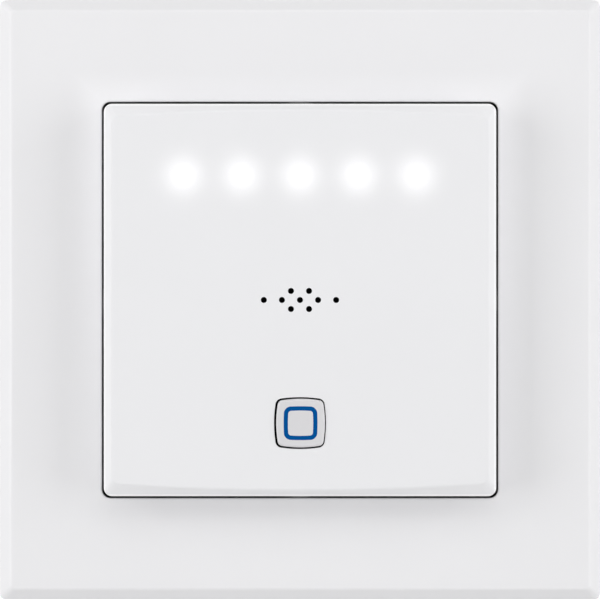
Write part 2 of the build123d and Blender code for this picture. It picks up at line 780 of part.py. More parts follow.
def make_power_case():
    """Case in the wall box: a cup with screw bosses, columns for the board and the terminals' cut-out."""
    case = Pos(0, 0, case_back) * extrude(case_outline(0), -case_back)
    case = chamfer(case.faces().sort_by(Axis.Z)[0].edges(), case_edge)
    case -= Pos(0, 0, case_floor) * extrude(case_outline(case_wall), -case_floor)
    inner = Pos(0, 0, case_floor) * extrude(case_outline(case_wall / 2), -case_floor)
    bosses = [rod(boss_d, case_floor, lid_bottom, x, y) for x, y in boss_places]
    columns = [rod(column_d, case_floor, power_board_bottom, x, y) for x, y in column_places]
    case += [post & inner for post in bosses + columns]
    pilot = plate_screw_d + 2 * thread_clearance
    tip = plate_thickness - plate_screw_length - tip_clearance
    case -= [rod(pilot, tip, lid_bottom, x, y) for x, y in boss_places]
    cut_width = block_width + 2 * block_gap
    cut_height = block_height + 2 * block_gap
    return case - block(cut_width, cut_height, case_back, case_floor, 0, block_y)


def make_power_lid():
    """Lid inside the case's rim, with pegs that hold the power board down."""
    inside = case_outline(case_wall + lid_gap)
    lid = Pos(0, 0, lid_bottom) * extrude(inside, lid_thickness)
    reach = Pos(0, 0, power_board_top) * extrude(inside, peg_height)
    lid += [rod(peg_d, power_board_top, lid_bottom, x, y) & reach for x, y in column_places]
    hole = plate_screw_d + 2 * screw_clearance
    lid -= [rod(hole, lid_bottom, 0, x, y) for x, y in boss_places]
    opening_length = header_length + 2 * header_gap
    opening_width = header_width + 2 * header_gap
    return lid - block(opening_length, opening_width, lid_bottom, 0, 0, header_y)


def make_plate_screws():
    """Countersunk screws through the plate and the lid into the case."""
    return group([countersunk(x, y, plate_screw_length) for x, y in boss_places])


def make_power_board():
    """Power board, notched round the screw bosses."""
    inset = case_wall + power_board_gap
    board = Pos(0, 0, power_board_bottom) * extrude(case_outline(inset), power_board_t)
    notch = boss_d + 2 * power_board_gap
    return board - [rod(notch, power_board_bottom, power_board_top, x, y) for x, y in boss_places]


# --- Parts on the power board: they hang from its rear side ---------------------------------------
def hung(width, height, tall, x, y, top=power_board_bottom):
    """A block that hangs from the power board."""
    return block(width, height, top - tall, top, x, y)


def make_transformer_bobbin():
    """Coil former: a foot on the board, a tube on the core's middle leg and two flanges."""
    foot_top = power_board_bottom - bobbin_foot
    foot = block(core_width, bobbin_width, foot_top, power_board_bottom, transformer_x, transformer_y)
    low = foot_top - winding_space()
    flange = block(core_width - 2 * core_slot - 2 * winding_gap, bobbin_width, low - bobbin_flange, low,
                   transformer_x, transformer_y)
    tube_wall = bobbin_flange
    tube = block(core_leg + 2 * tube_wall, core_thickness + 2 * tube_wall, low, foot_top,
                 transformer_x, transformer_y)
    bore = block(core_leg + 2 * winding_gap, core_thickness + 2 * winding_gap, low - bobbin_flange,
                 power_board_bottom, transformer_x, transformer_y)
    return foot + tube + flange - bore


def winding_space():
    """Length of the coil former between its foot and its flange."""
    return core_height - bobbin_foot - bobbin_flange - core_slot - winding_gap


def make_transformer_winding():
    """The coil, wound on the former."""
    foot_top = power_board_bottom - bobbin_foot
    low = foot_top - winding_space()
    width = core_width - 2 * core_slot - 2 * coil_gap
    height = bobbin_width - 2 * winding_gap
    coil = block(width, height, low, foot_top, transformer_x, transformer_y, coil_corner_r)
    tube_wall = bobbin_flange
    return coil - block(core_leg + 2 * tube_wall, core_thickness + 2 * tube_wall, low, foot_top,
                        transformer_x, transformer_y)


def make_transformer_core():
    """Ferrite core: a middle leg through the coil and two outer limbs joined by a yoke."""
    low = power_board_bottom - core_height
    foot_top = power_board_bottom - bobbin_foot
    outline = block(core_width, core_thickness, low, foot_top, transformer_x, transformer_y)
    window_width = (core_width - 2 * core_slot - core_leg) / 2
    window_x = (core_leg + window_width) / 2
    windows = [block(window_width, core_thickness, low + core_slot, foot_top, transformer_x + sx * window_x,
                     transformer_y) for sx in (-1, 1)]
    return outline - windows


def make_bulk_capacitors():
    """Two round capacitors beside the transformer."""
    first = transformer_x + core_width / 2 + part_gap + bulk_d / 2
    low = power_board_bottom - bulk_height
    can = rod(bulk_d, low, power_board_bottom, first, bulk_y)
    can = chamfer(can.faces().sort_by(Axis.Z)[0].edges(), bulk_edge)
    return group([Pos(i * (bulk_d + part_gap), 0, 0) * can for i in range(bulk_count)])


def make_input_capacitor():
    """Film capacitor across the mains."""
    film_y = bulk_y - bulk_d / 2 - part_gap - film_thickness / 2
    return hung(film_width, film_thickness, film_height, film_x, film_y)


def make_fuse_resistor():
    """Fuse resistor lying over the board, on two bent wires."""
    axis_level = power_board_bottom - fuse_lift - fuse_d / 2
    body = Pos(fuse_x, block_y, axis_level) * Rot(0, 90, 0) * Cylinder(fuse_d / 2, fuse_length)
    reach = fuse_length / 2 + 2 * lead_bend_r
    for sx in (-1, 1):
        knee = (fuse_x + sx * reach, block_y, axis_level)
        foot = (knee[0], block_y, power_board_bottom)
        body += wire([(fuse_x, block_y, axis_level), knee, foot], lead_wire_d, lead_bend_r)
    return body


def make_varistor():
    """Disc varistor standing on the board."""
    low = power_board_bottom - varistor_lift - varistor_d
    middle = low + varistor_d / 2
    disc = Pos(varistor_x, block_y, middle) * Rot(90, 0, 0) * Cylinder(varistor_d / 2, varistor_t)
    leg_places = [varistor_x + sx * varistor_pitch / 2 for sx in (-1, 1)]
    return disc + [rod(lead_wire_d, middle, power_board_bottom, x, block_y) for x in leg_places]


# --- Terminal block -------------------------------------------------------------------------------
def make_terminal_block():
    """Push-in terminals: two poles with two wire entries and a release button each."""
    body = block(block_width, block_height, block_back, block_front, 0, block_y)
    body = chamfer(body.faces().sort_by(Axis.Z)[0].edges(), block_edge)
    body += block(block_width + 2 * block_flange, block_height + 2 * block_flange, case_floor,
                  case_floor + block_flange, 0, block_y)
    body -= block(block_groove, block_height, block_back, block_back + block_groove, 0, block_y)
    slot_width = button_width + 2 * button_gap
    slot_height = button_height + 2 * button_gap
    for sx in (-1, 1):
        body -= block(chamber_width, chamber_height, chamber_floor, block_front, sx * pole_x, block_y)
        body -= block(slot_width, slot_height, block_back, chamber_floor, sx * pole_x, block_y + button_y)
    mouth_d = entry_d + 2 * entry_funnel
    for x, y in entry_places:
        body -= taper(mouth_d, entry_d, block_back, block_back + entry_funnel, x, y)
        body -= rod(entry_d, block_back, chamber_floor, x, y)
    return body


def make_release_button(sx):
    """Release button of one pole: pushed in, it would lift that pole's springs."""
    y = block_y + button_y
    button = block(button_width, button_height, block_back - button_proud, button_tip, sx * pole_x, y)
    lug_bottom = chamber_floor + button_gap / 2
    lug_width = button_width + 2 * button_lug
    return button + block(lug_width, button_height, lug_bottom, lug_bottom + button_lug_h, sx * pole_x, y)


def make_busbars():
    """Copper bars along the chambers, each with a pin to the power board."""
    thickness_y = block_y - chamber_height / 2 + busbar_t / 2
    bars = []
    for sx in (-1, 1):
        low = chamber_floor + busbar_side_gap
        bar = block(chamber_width - 2 * busbar_side_gap, busbar_t, low, block_front, sx * pole_x, thickness_y)
        pin = block(busbar_pin, busbar_t, block_front, power_board_bottom, sx * pole_x, thickness_y)
        bars.append(bar + pin)
    return group(bars)


def make_terminal_springs():
    """Bent leaf springs, one at each wire entry, that press the wire on its bar."""
    high = block_y + chamber_height / 2
    low = block_y - chamber_height / 2 + busbar_t + spring_t
    top = block_front - spring_t
    outline = Polygon((high, spring_start), (high, top), (low, top), (low, top - spring_t),
                      (high - spring_t, top - spring_t), (high - spring_t, spring_start), align=None)
    leg_end = spring_start + spring_drop
    leg = Polygon((high - spring_t, spring_start), (high, spring_start), (low + spring_t, leg_end),
                  (low, leg_end), align=None)
    profile = outline + leg
    spring = extrude(Plane.YZ * profile, spring_width / 2, both=True)
    return group([Pos(x, 0, 0) * spring for x, y in entry_places])


pieces = {
    "frame": make_frame,
    "mounting_plate": make_mounting_plate,
    "cover": make_cover,
    "electronics_tray": make_tray,
    "main_board": make_main_board,
    "board_screws": make_board_screws,
    "indicator_leds": make_indicator_leds,
    "light_box": make_light_box,
    "diffuser_strip": make_diffuser_strip,
    "key_cap": make_key_cap,
    "key_light_ring": ring_solid,
    "switch_body": make_switch_body,
    "switch_cap": make_switch_cap,
    "switch_plunger": make_switch_plunger,
    "key_leds": make_key_leds,
    "air_sensor_base": make_sensor_base,
    "air_sensor_can": make_sensor_can,
    "sensor_gasket": make_sensor_gasket,
    "dust_filter": make_dust_filter,
    "radio_board": make_radio_board,
    "radio_shield": make_radio_shield,
    "antenna": make_antenna,
    "processor": make_processor,
    "processor_leads": make_processor_leads,
    "header_strip": make_header_strip,
    "header_pins": make_header_pins,
    "socket_strip": make_socket_strip,
    "power_case": make_power_case,
    "power_lid": make_power_lid,
    "plate_screws": make_plate_screws,
    "power_board": make_power_board,
    "transformer_core": make_transformer_core,
    "transformer_bobbin": make_transformer_bobbin,
    "transformer_winding": make_transformer_winding,
    "bulk_capacitors": make_bulk_capacitors,
    "input_capacitor": make_input_capacitor,
    "fuse_resistor": make_fuse_resistor,
    "varistor": make_varistor,
    "terminal_block": make_terminal_block,
    "terminal_busbars": make_busbars,
    "terminal_springs": make_terminal_springs,
    "release_button_live": lambda: make_release_button(-1),
    "release_button_neutral": lambda: make_release_button(1),
}

os.makedirs("parts", exist_ok=True)
for name, make in pieces.items():
    save(make(), name)
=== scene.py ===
# %% [markdown]
# # A smart home hub on the wall
# The object is a white square unit that sits in a round wall box: a bevelled trim frame, a raised cover with
# five lights and nine small holes, and one key with a blue ring. Behind the wall hang its power case and its
# terminals. The measured model is loaded as it is, and this file gives every piece its finish, makes the
# pieces that are too fine for that model, and sets up the camera and the studio.

# %% Load the measured model
import bpy
import math
import numpy as np
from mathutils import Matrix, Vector


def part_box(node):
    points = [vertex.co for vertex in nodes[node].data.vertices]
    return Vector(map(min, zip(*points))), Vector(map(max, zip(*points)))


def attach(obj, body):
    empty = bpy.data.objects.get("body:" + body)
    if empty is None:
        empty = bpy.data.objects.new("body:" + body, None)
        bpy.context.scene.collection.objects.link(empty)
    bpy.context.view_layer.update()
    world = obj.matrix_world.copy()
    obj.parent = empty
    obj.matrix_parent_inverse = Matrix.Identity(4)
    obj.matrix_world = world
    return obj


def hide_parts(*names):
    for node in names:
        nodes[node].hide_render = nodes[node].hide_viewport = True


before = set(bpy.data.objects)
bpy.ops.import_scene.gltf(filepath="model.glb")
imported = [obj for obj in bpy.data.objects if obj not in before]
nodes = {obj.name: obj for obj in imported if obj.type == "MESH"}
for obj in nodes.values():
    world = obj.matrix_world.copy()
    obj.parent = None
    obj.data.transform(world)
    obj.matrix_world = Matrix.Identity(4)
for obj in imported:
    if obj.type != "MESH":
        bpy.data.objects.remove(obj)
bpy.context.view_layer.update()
MM = 0.001
print("pieces in the measured model:", len(nodes))

# %% [markdown]
# ## Places worked out from the model
# Nothing is placed by eye. The fronts, the row of lights, the key and the screws are read from the boxes of
# the pieces that carry them, so the finishes and the new pieces follow if the model changes. The unit hangs
# upright: x runs to the right, z runs up, and the room is on the side of minus y.

# %% Read the fronts, the row of lights and the key
cover_low, cover_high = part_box("cover")
frame_low, frame_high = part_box("frame")
key_low, key_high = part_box("key_cap")
leds_low, leds_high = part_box("indicator_leds")
COVER_FRONT, FRAME_FRONT = cover_low.y, frame_low.y
COVER_HALF = cover_high.x
KEY_Z = (key_low.z + key_high.z) / 2
LED_COUNT = 5
LED_LENGTH = 3.5 * MM
LED_Z = (leds_low.z + leds_high.z) / 2
led_xs = np.linspace(leds_low.x + LED_LENGTH / 2, leds_high.x - LED_LENGTH / 2, LED_COUNT)
print("lights at x", np.round(led_xs / MM, 2), "mm and z", round(LED_Z / MM, 2), "mm")
print("key at z", round(KEY_Z / MM, 2), "mm")

# %% [markdown]
# ## A finish as a small network of nodes
# A Blender material is a network: coordinates go in, patterns are worked out from them, and the results feed
# the shader. The same few steps come back in every finish of this unit, so they are collected in one class.
# Its patterns read the Object coordinates, which here are the model's own metres: a pattern keeps its real
# size, and it stays on its piece when the piece moves.

# %% The Finish class
class Finish:
    """One material: its node tree, its shader, and the piece's own coordinates in metres."""

    def __init__(self, name, colour, roughness, metal=0.0):
        self.material = bpy.data.materials.new(name)
        self.material.use_nodes = True
        self.tree = self.material.node_tree
        self.shader = self.tree.nodes["Principled BSDF"]
        self.shader.inputs["Base Color"].default_value = (*colour, 1)
        self.shader.inputs["Roughness"].default_value = roughness
        self.shader.inputs["Metallic"].default_value = metal
        self.where = self.tree.nodes.new("ShaderNodeTexCoord").outputs["Object"]
        self.x, self.y, self.z = self.node("SeparateXYZ", Vector=self.where).outputs

    def feed(self, socket, value):
        """Links a socket to an input, or sets the input to a number or a colour."""
        if isinstance(value, bpy.types.NodeSocket):
            self.tree.links.new(value, socket)
        elif isinstance(value, tuple) and socket.type == "RGBA":
            socket.default_value = (*value, 1)
        else:
            socket.default_value = value

    def node(self, kind, **inputs):
        """Adds a node and feeds the inputs that are given by name."""
        node = self.tree.nodes.new("ShaderNode" + kind)
        for name, value in inputs.items():
            self.feed(node.inputs[name.replace("_", " ")], value)
        return node

    def maths(self, operation, *values):
        """One step of arithmetic on sockets and numbers."""
        node = self.tree.nodes.new("ShaderNodeMath")
        node.operation = operation
        for socket, value in zip(node.inputs, values):
            self.feed(socket, value)
        return node.outputs[0]

    def fade(self, value, start, end):
        """0 on the side of start, 1 on the side of end, smooth between them; end may be the smaller."""
        node = self.node("MapRange", Value=value, From_Min=start, From_Max=end)
        node.interpolation_type = "SMOOTHSTEP"
        return node.outputs["Result"]

    def apart(self, value, centre):
        """Distance of a coordinate from a place along its axis."""
        return self.maths("ABSOLUTE", self.maths("SUBTRACT", value, centre))

    def radius(self, a, b, centre_a=0.0, centre_b=0.0):
        """Distance from a line that runs along the third axis: the root of da squared plus db squared."""
        da, db = self.apart(a, centre_a), self.apart(b, centre_b)
        square = self.maths("MULTIPLY_ADD", da, da, self.maths("MULTIPLY", db, db))
        return self.maths("SQRT", square)

    def cover_up(self, name, mask, value):
        """Lays a value or a colour over what an input of the shader has, where the mask is 1."""
        socket = self.shader.inputs[name]
        mix = self.tree.nodes.new("ShaderNodeMix")
        mix.data_type = "RGBA" if socket.type == "RGBA" else "FLOAT"
        if socket.is_linked:
            self.tree.links.new(socket.links[0].from_socket, mix.inputs["A"])
        else:
            mix.inputs["A"].default_value = socket.default_value
        self.feed(mix.inputs["Factor"], mask)
        self.feed(mix.inputs["B"], value)
        self.tree.links.new(mix.outputs["Result"], socket)

    def paint_shade(self, mask, shade):
        """Paints shade on a place, so dark that it doesn't even shine: a metal has no gloss but its own
        colour.
        """
        self.cover_up("Base Color", mask, shade)
        self.cover_up("Metallic", mask, 1.0)

    def relief(self, height, depth_mm):
        """Raises the skin by depth_mm where the height is 1, on top of the relief that it has."""
        bump = self.node("Bump", Height=height, Distance=depth_mm * MM)
        normal = self.shader.inputs["Normal"]
        if normal.is_linked:
            self.tree.links.new(normal.links[0].from_socket, bump.inputs["Normal"])
        self.tree.links.new(bump.outputs["Normal"], normal)


def dress(finish, *names):
    """Gives a finish to pieces of the measured model."""
    for name in names:
        slots = nodes[name].data.materials
        slots.clear()
        slots.append(finish.material)
    print(finish.material.name, "on", ", ".join(names))


# %% [markdown]
# ## Patterns that several finishes share
# Clouds are soft noise, for slow drifts of tone and for the fine skin of a mould. Grains are the cells of a
# Voronoi pattern, each with a tone of its own, for crystals and foam. Stripes repeat at a pitch. A tone is a
# colour multiplied by a factor, which is how a piece of one colour gets its lighter and darker places.

# %% Clouds, grains, stripes and tones
def clouds(finish, size_mm, detail=2.0, stretch=(1, 1, 1)):
    """Noise from 0 to 1 with blobs about size_mm wide, drawn out along an axis by its stretch."""
    place = finish.where
    if stretch != (1, 1, 1):
        shrink = tuple(1 / s for s in stretch)
        place = finish.node("Mapping", Vector=place, Scale=Vector(shrink)).outputs["Vector"]
    return finish.node("TexNoise", Vector=place, Scale=1 / (size_mm * MM), Detail=detail).outputs["Fac"]


def grains(finish, size_mm):
    """A Voronoi pattern: the distance from each cell's middle, and one random number for each cell."""
    node = finish.node("TexVoronoi", Vector=finish.where, Scale=1 / (size_mm * MM))
    chance = finish.node("SeparateColor", Color=node.outputs["Color"]).outputs[0]
    return node.outputs["Distance"], chance


def stripes(finish, value, pitch_mm, share, soft=0.06, start=0.0):
    """1 on stripes that come back every pitch and fill this share of it: a wrapped coordinate's middle."""
    turns = finish.maths("DIVIDE", finish.maths("SUBTRACT", value, start), pitch_mm * MM)
    off_middle = finish.apart(finish.maths("FRACT", turns), 0.5)
    return finish.fade(off_middle, share / 2 + soft, share / 2 - soft)


def tone(colour, factor):
    """The same colour, lighter or darker."""
    return tuple(min(1.0, channel * factor) for channel in colour)


def both(finish, first, second):
    """1 only where both masks are 1."""
    return finish.maths("MULTIPLY", first, second)


def drift(finish, colour, size_mm, amount):
    """Lets the colour wander by this share either way, in clouds."""
    finish.shader.inputs["Base Color"].default_value = (*tone(colour, 1 - amount), 1)
    finish.cover_up("Base Color", clouds(finish, size_mm), tone(colour, 1 + amount))


def uneven_gloss(finish, roughness, spread, size_mm=3.0):
    """Lets the roughness wander by the spread either way."""
    finish.shader.inputs["Roughness"].default_value = roughness - spread
    finish.cover_up("Roughness", clouds(finish, size_mm), roughness + spread)


# %% [markdown]
# ## Moulded plastic
# Most of the unit is moulded plastic. A fresh moulding is not one flat colour: its tone drifts by about one
# percent, its gloss varies a little more, and the mould leaves a skin of grain a thousandth of a millimetre
# or two deep. The pins that push a moulding out of its mould leave round marks on its hidden side. One
# function makes them all, from the satin trim to the black tray.

# %% A function for moulded plastic
def moulded(name, colour, roughness, skin_mm=0.12, skin_depth_mm=0.002, amount=0.012):
    """Moulded plastic: slow drift of tone and gloss, and a fine skin."""
    finish = Finish(name, colour, roughness)
    drift(finish, colour, 18.0, amount)
    uneven_gloss(finish, roughness, 0.03)
    finish.relief(clouds(finish, skin_mm, 3.0), skin_depth_mm)
    return finish


def pin_marks(finish, out_x_mm, out_z_mm, diameter_mm, from_y, depth_mm=0.03):
    """Four round marks of the mould's pins on the hidden side, which lies beyond from_y."""
    x, z = finish.maths("ABSOLUTE", finish.x), finish.maths("ABSOLUTE", finish.z)
    reach = finish.radius(x, z, out_x_mm * MM, out_z_mm * MM)
    edge = diameter_mm * MM / 2
    disc = finish.fade(reach, edge + 0.05 * MM, edge)
    hidden = finish.maths("GREATER_THAN", finish.y, from_y)
    finish.relief(both(finish, disc, hidden), -depth_mm)


# %% [markdown]
# ## The trim frame
# The frame is satin white, a little glossier than the cover. Around the cover runs a gap half a millimetre
# wide, which the eye reads as a dark line, because hardly any light that falls in comes out again. So the
# frame's inner walls get a painted shade within three tenths of a millimetre below the front. The mask is
# worked out from the coordinates: near the window, and deep enough. Around the window the white is painted
# a touch lighter, most at the top: painted light for what the cover's edge throws back on it.

# %% The frame's white, with painted shade inside the gap and painted light round the window
TRIM_WHITE = (0.845, 0.842, 0.856)
PAINTED_GAP_SHADE = (0.012, 0.012, 0.013)
WINDOW_GAP = 0.55 * MM
PAINTED_LIGHT_REACH = 5.0 * MM
PAINTED_LIGHT_TONE = 1.08

trim_white = moulded("trim_white", TRIM_WHITE, roughness=0.34, skin_mm=0.3, skin_depth_mm=0.001)
window_half = COVER_HALF + WINDOW_GAP
off_centre = trim_white.maths("MAXIMUM", trim_white.maths("ABSOLUTE", trim_white.x),
                              trim_white.maths("ABSOLUTE", trim_white.z))
# Painted light: the white is painted up to 8 % lighter within 5 mm of the window, fading out towards the
# bottom.
painted_light_near_window = trim_white.fade(off_centre, window_half + PAINTED_LIGHT_REACH, window_half)
higher = trim_white.fade(trim_white.z, -window_half, window_half)
trim_white.cover_up("Base Color", both(trim_white, painted_light_near_window, higher), tone(TRIM_WHITE, PAINTED_LIGHT_TONE))
# Painted shade: the walls of the gap are painted almost black from a few hundredths of a millimetre below the
# front.
at_window = trim_white.fade(off_centre, window_half + 0.25 * MM, window_half + 0.15 * MM)
deep = trim_white.fade(trim_white.y, FRAME_FRONT + 0.03 * MM, FRAME_FRONT + 0.3 * MM)
trim_white.paint_shade(both(trim_white, at_window, deep), PAINTED_GAP_SHADE)
pin_marks(trim_white, out_x_mm=36.0, out_z_mm=36.0, diameter_mm=3.0, from_y=FRAME_FRONT + 1.0 * MM)
dress(trim_white, "frame")

# %% [markdown]
# ## The cover and its lights
# The cover is the same white with a finer, more matt skin. Behind it shine five LEDs, each down its own
# well, through a wall thinned to 0.9 mm. What shows on the front is five soft round glows, brightest in the
# middle and fading like a bell curve. They could be real lamps behind real translucent plastic, but that
# would be slow and grainy to render, so they are emission worked out in the material: for each light the
# squared distance from its middle becomes a bell curve, and the five curves are added.

# %% The cover's white, with five glows
COVER_WHITE = (0.845, 0.845, 0.86)
GLOW_SPREAD = 1.76 * MM
GLOW_PEAK = 0.26
GLOW_COLOUR = (1.0, 0.995, 0.99)
SKIN = 0.05 * MM


def bell(finish, centre_x, centre_z, spread):
    """Bell curve round a point of the front: exp of minus the squared distance over twice spread squared."""
    reach = finish.radius(finish.x, finish.z, centre_x, centre_z)
    fall = finish.maths("MULTIPLY", finish.maths("MULTIPLY", reach, reach), -1 / (2 * spread ** 2))
    return finish.maths("EXPONENT", fall)


cover_white = moulded("cover_white", COVER_WHITE, roughness=0.42, skin_mm=0.1, skin_depth_mm=0.0015)
glow = 0.0
for led_x in led_xs:
    glow = cover_white.maths("ADD", bell(cover_white, float(led_x), LED_Z, GLOW_SPREAD), glow)
on_front = cover_white.maths("LESS_THAN", cover_white.y, COVER_FRONT + SKIN)
cover_white.feed(cover_white.shader.inputs["Emission Strength"],
                 cover_white.maths("MULTIPLY", both(cover_white, glow, on_front), GLOW_PEAK))
cover_white.shader.inputs["Emission Color"].default_value = (*GLOW_COLOUR, 1)

# %% [markdown]
# The walls of the nine holes and of the slot round the key get a painted shade, darker than the front, as
# the gap round the cover does. The masks take in everything just below the front that lies near the holes or
# the key.

# %% Painted shade on the walls in the holes, in the key's opening and beside the frame
PAINTED_HOLE_SHADE = (0.008, 0.008, 0.009)
HOLES_HALF_X, HOLES_HALF_Z = 6.2 * MM, 2.4 * MM
OPENING_HALF = 4.1 * MM

x_off, z_off = cover_white.apart(cover_white.x, 0.0), cover_white.apart(cover_white.z, 0.0)
z_off_key = cover_white.apart(cover_white.z, KEY_Z)
at_holes = both(cover_white, cover_white.maths("LESS_THAN", x_off, HOLES_HALF_X),
                cover_white.maths("LESS_THAN", z_off, HOLES_HALF_Z))
at_key = cover_white.maths("LESS_THAN", cover_white.maths("MAXIMUM", x_off, z_off_key), OPENING_HALF)
below = cover_white.fade(cover_white.y, COVER_FRONT + 0.1 * MM, COVER_FRONT + 0.3 * MM)
painted_shade_openings = both(cover_white, cover_white.maths("MAXIMUM", at_holes, at_key), below)
cover_white.paint_shade(painted_shade_openings, PAINTED_HOLE_SHADE)
# Painted shade: the cover's side walls below the frame's front are painted almost black too.
painted_shade_in_gap = cover_white.fade(cover_white.y, FRAME_FRONT - 0.05 * MM, FRAME_FRONT + 0.3 * MM)
cover_white.paint_shade(painted_shade_in_gap, PAINTED_GAP_SHADE)

# %% [markdown]
# The outer edge of the cover's bevels is the opposite of a gap. The mould leaves it smoother, and it is
# painted lighter as a thin painted highlight line: the mask is near the cover's outline, and no deeper than
# the foot of the bevels.

# %% The cover's smoother edge, with a painted highlight line
PAINTED_HIGHLIGHT_WHITE = (0.98, 0.98, 0.985)
LIP_ROUGHNESS = 0.25

to_edge = cover_white.maths("MAXIMUM", x_off, z_off)
outermost = cover_white.fade(to_edge, COVER_HALF - 0.34 * MM, COVER_HALF - 0.2 * MM)
on_bevel = cover_white.fade(cover_white.y, COVER_FRONT + 1.6 * MM, COVER_FRONT + 1.1 * MM)
smooth_lip_and_highlight = both(cover_white, outermost, on_bevel)
cover_white.cover_up("Base Color", smooth_lip_and_highlight, PAINTED_HIGHLIGHT_WHITE)
cover_white.cover_up("Roughness", smooth_lip_and_highlight, LIP_ROUGHNESS)
dress(cover_white, "cover")

# %% [markdown]
# ## The key and its ring
# The key is a separate cap, a shade greyer than the cover, and its sides get a painted shade below the
# cover's front, as the opening's walls do. The ring set in it is a deep blue inlay. Its shine is turned down,
# so that the white room doesn't wash out the blue.

# %% The key's grey white and the ring's blue
KEY_WHITE = (0.7, 0.695, 0.71)
RING_BLUE = (0.0, 0.082, 0.3)

key_white = moulded("key_white", KEY_WHITE, roughness=0.4, skin_mm=0.1, skin_depth_mm=0.0015)
# Painted shade: the key's sides below the cover's front are painted almost black.
painted_shade_sunk = key_white.fade(key_white.y, COVER_FRONT + 0.05 * MM, COVER_FRONT + 0.3 * MM)
key_white.paint_shade(painted_shade_sunk, PAINTED_HOLE_SHADE)
dress(key_white, "key_cap")
ring_blue = moulded("ring_blue", RING_BLUE, roughness=0.45, skin_mm=0.2, skin_depth_mm=0.001)
ring_blue.shader.inputs["Specular IOR Level"].default_value = 0.03
dress(ring_blue, "key_light_ring")

# %% [markdown]
# ## Galvanised steel
# The mounting plate is stamped from zinc coated sheet. As the zinc sets it grows flat crystals a few
# millimetres wide, and each one catches the light a little differently, which is called the spangle. Voronoi
# cells give every crystal one random number, and that number moves its tone and its gloss. Rolling leaves
# very fine lines along the sheet. On the cut edges there is no zinc, so they are plainer and duller.

# %% The mounting plate
def sheet_metal(name, colour, roughness, line_depth_mm=0.001, lines=(60, 1, 1)):
    """Rolled or drawn metal: drift of tone, uneven gloss and fine lines along one axis."""
    finish = Finish(name, colour, roughness, metal=1.0)
    drift(finish, colour, 9.0, 0.03)
    uneven_gloss(finish, roughness, 0.05, 2.0)
    finish.relief(clouds(finish, 0.06, stretch=lines), line_depth_mm)
    return finish


ZINC = (0.62, 0.63, 0.65)
CRYSTAL_MM = 4.0
galvanised = sheet_metal("galvanised_steel", ZINC, 0.36)
chance = grains(galvanised, CRYSTAL_MM)[1]
galvanised.cover_up("Base Color", galvanised.maths("MULTIPLY", chance, 0.45), tone(ZINC, 0.72))
galvanised.cover_up("Roughness", galvanised.maths("MULTIPLY", chance, 0.5), 0.55)
plate_low, plate_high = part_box("mounting_plate")
mid_sheet = galvanised.apart(galvanised.y, (plate_low.y + plate_high.y) / 2)
half_sheet = (plate_high.y - plate_low.y) / 2
cut_edge = galvanised.fade(mid_sheet, half_sheet - 0.02 * MM, half_sheet - 0.1 * MM)
galvanised.cover_up("Roughness", cut_edge, 0.6)
dress(galvanised, "mounting_plate")

# %% [markdown]
# ## Black plastics
# The tray that carries the electronics is matt black, with the pins' marks on its floor. The plastics that
# are soldered to a board are glass-filled, so that the heat doesn't warp them: short fibres show as fine
# pale flecks. The plunger of the switch is a softer, greyer plastic.

# %% The tray, the switch, the strips and the coil former
BLACK = (0.03, 0.03, 0.033)
PLUNGER_GREY = (0.12, 0.12, 0.12)


def glass_filled(name, colour, roughness=0.45):
    """Moulded plastic with short pale fibres in its skin: the rare high places of a stretched noise."""
    finish = moulded(name, colour, roughness, skin_mm=0.15, skin_depth_mm=0.003, amount=0.05)
    fibres = finish.fade(clouds(finish, 0.12, detail=1.0, stretch=(5, 1, 1)), 0.66, 0.74)
    finish.cover_up("Base Color", finish.maths("MULTIPLY", fibres, 0.5), tone(colour, 3.5))
    return finish


tray_black = moulded("tray_black", BLACK, roughness=0.55, skin_mm=0.15, skin_depth_mm=0.004, amount=0.05)
pin_marks(tray_black, out_x_mm=21.0, out_z_mm=18.0, diameter_mm=2.5, from_y=FRAME_FRONT)
dress(tray_black, "electronics_tray")
dress(glass_filled("switch_black", tone(BLACK, 1.2)), "switch_body")
dress(glass_filled("strip_black", tone(BLACK, 0.9), 0.5), "header_strip", "socket_strip")
dress(glass_filled("coil_former_black", tone(BLACK, 0.8), 0.4), "transformer_bobbin")
plunger_grey = moulded("plunger_grey", PLUNGER_GREY, roughness=0.35, skin_mm=0.1, skin_depth_mm=0.001,
                       amount=0.03)
off_axis = plunger_grey.radius(plunger_grey.x, plunger_grey.z, 0.0, KEY_Z)
plunger_grey.relief(stripes(plunger_grey, off_axis, pitch_mm=0.4, share=0.5), 0.004)
dress(plunger_grey, "switch_plunger")

# %% [markdown]
# ## Circuit boards
# A board is a glass laminate with copper tracks under a coloured lacquer. The tracks lift the lacquer by
# three hundredths of a millimetre and show through it as a lighter tone. In one set of clouds they run up,
# in the other across, and a second set of clouds leaves some areas empty, which looks routed. Small tinned
# rings are the vias. On the cut edges the lacquer ends, and the yellowish laminate shows its layers.

# %% A function for circuit boards
VIA_TIN = (0.6, 0.6, 0.58)
VIA_HOLE_SHADE = (0.01, 0.01, 0.01)
LAMINATE, LAMINATE_LAYER = (0.36, 0.31, 0.16), (0.27, 0.22, 0.1)


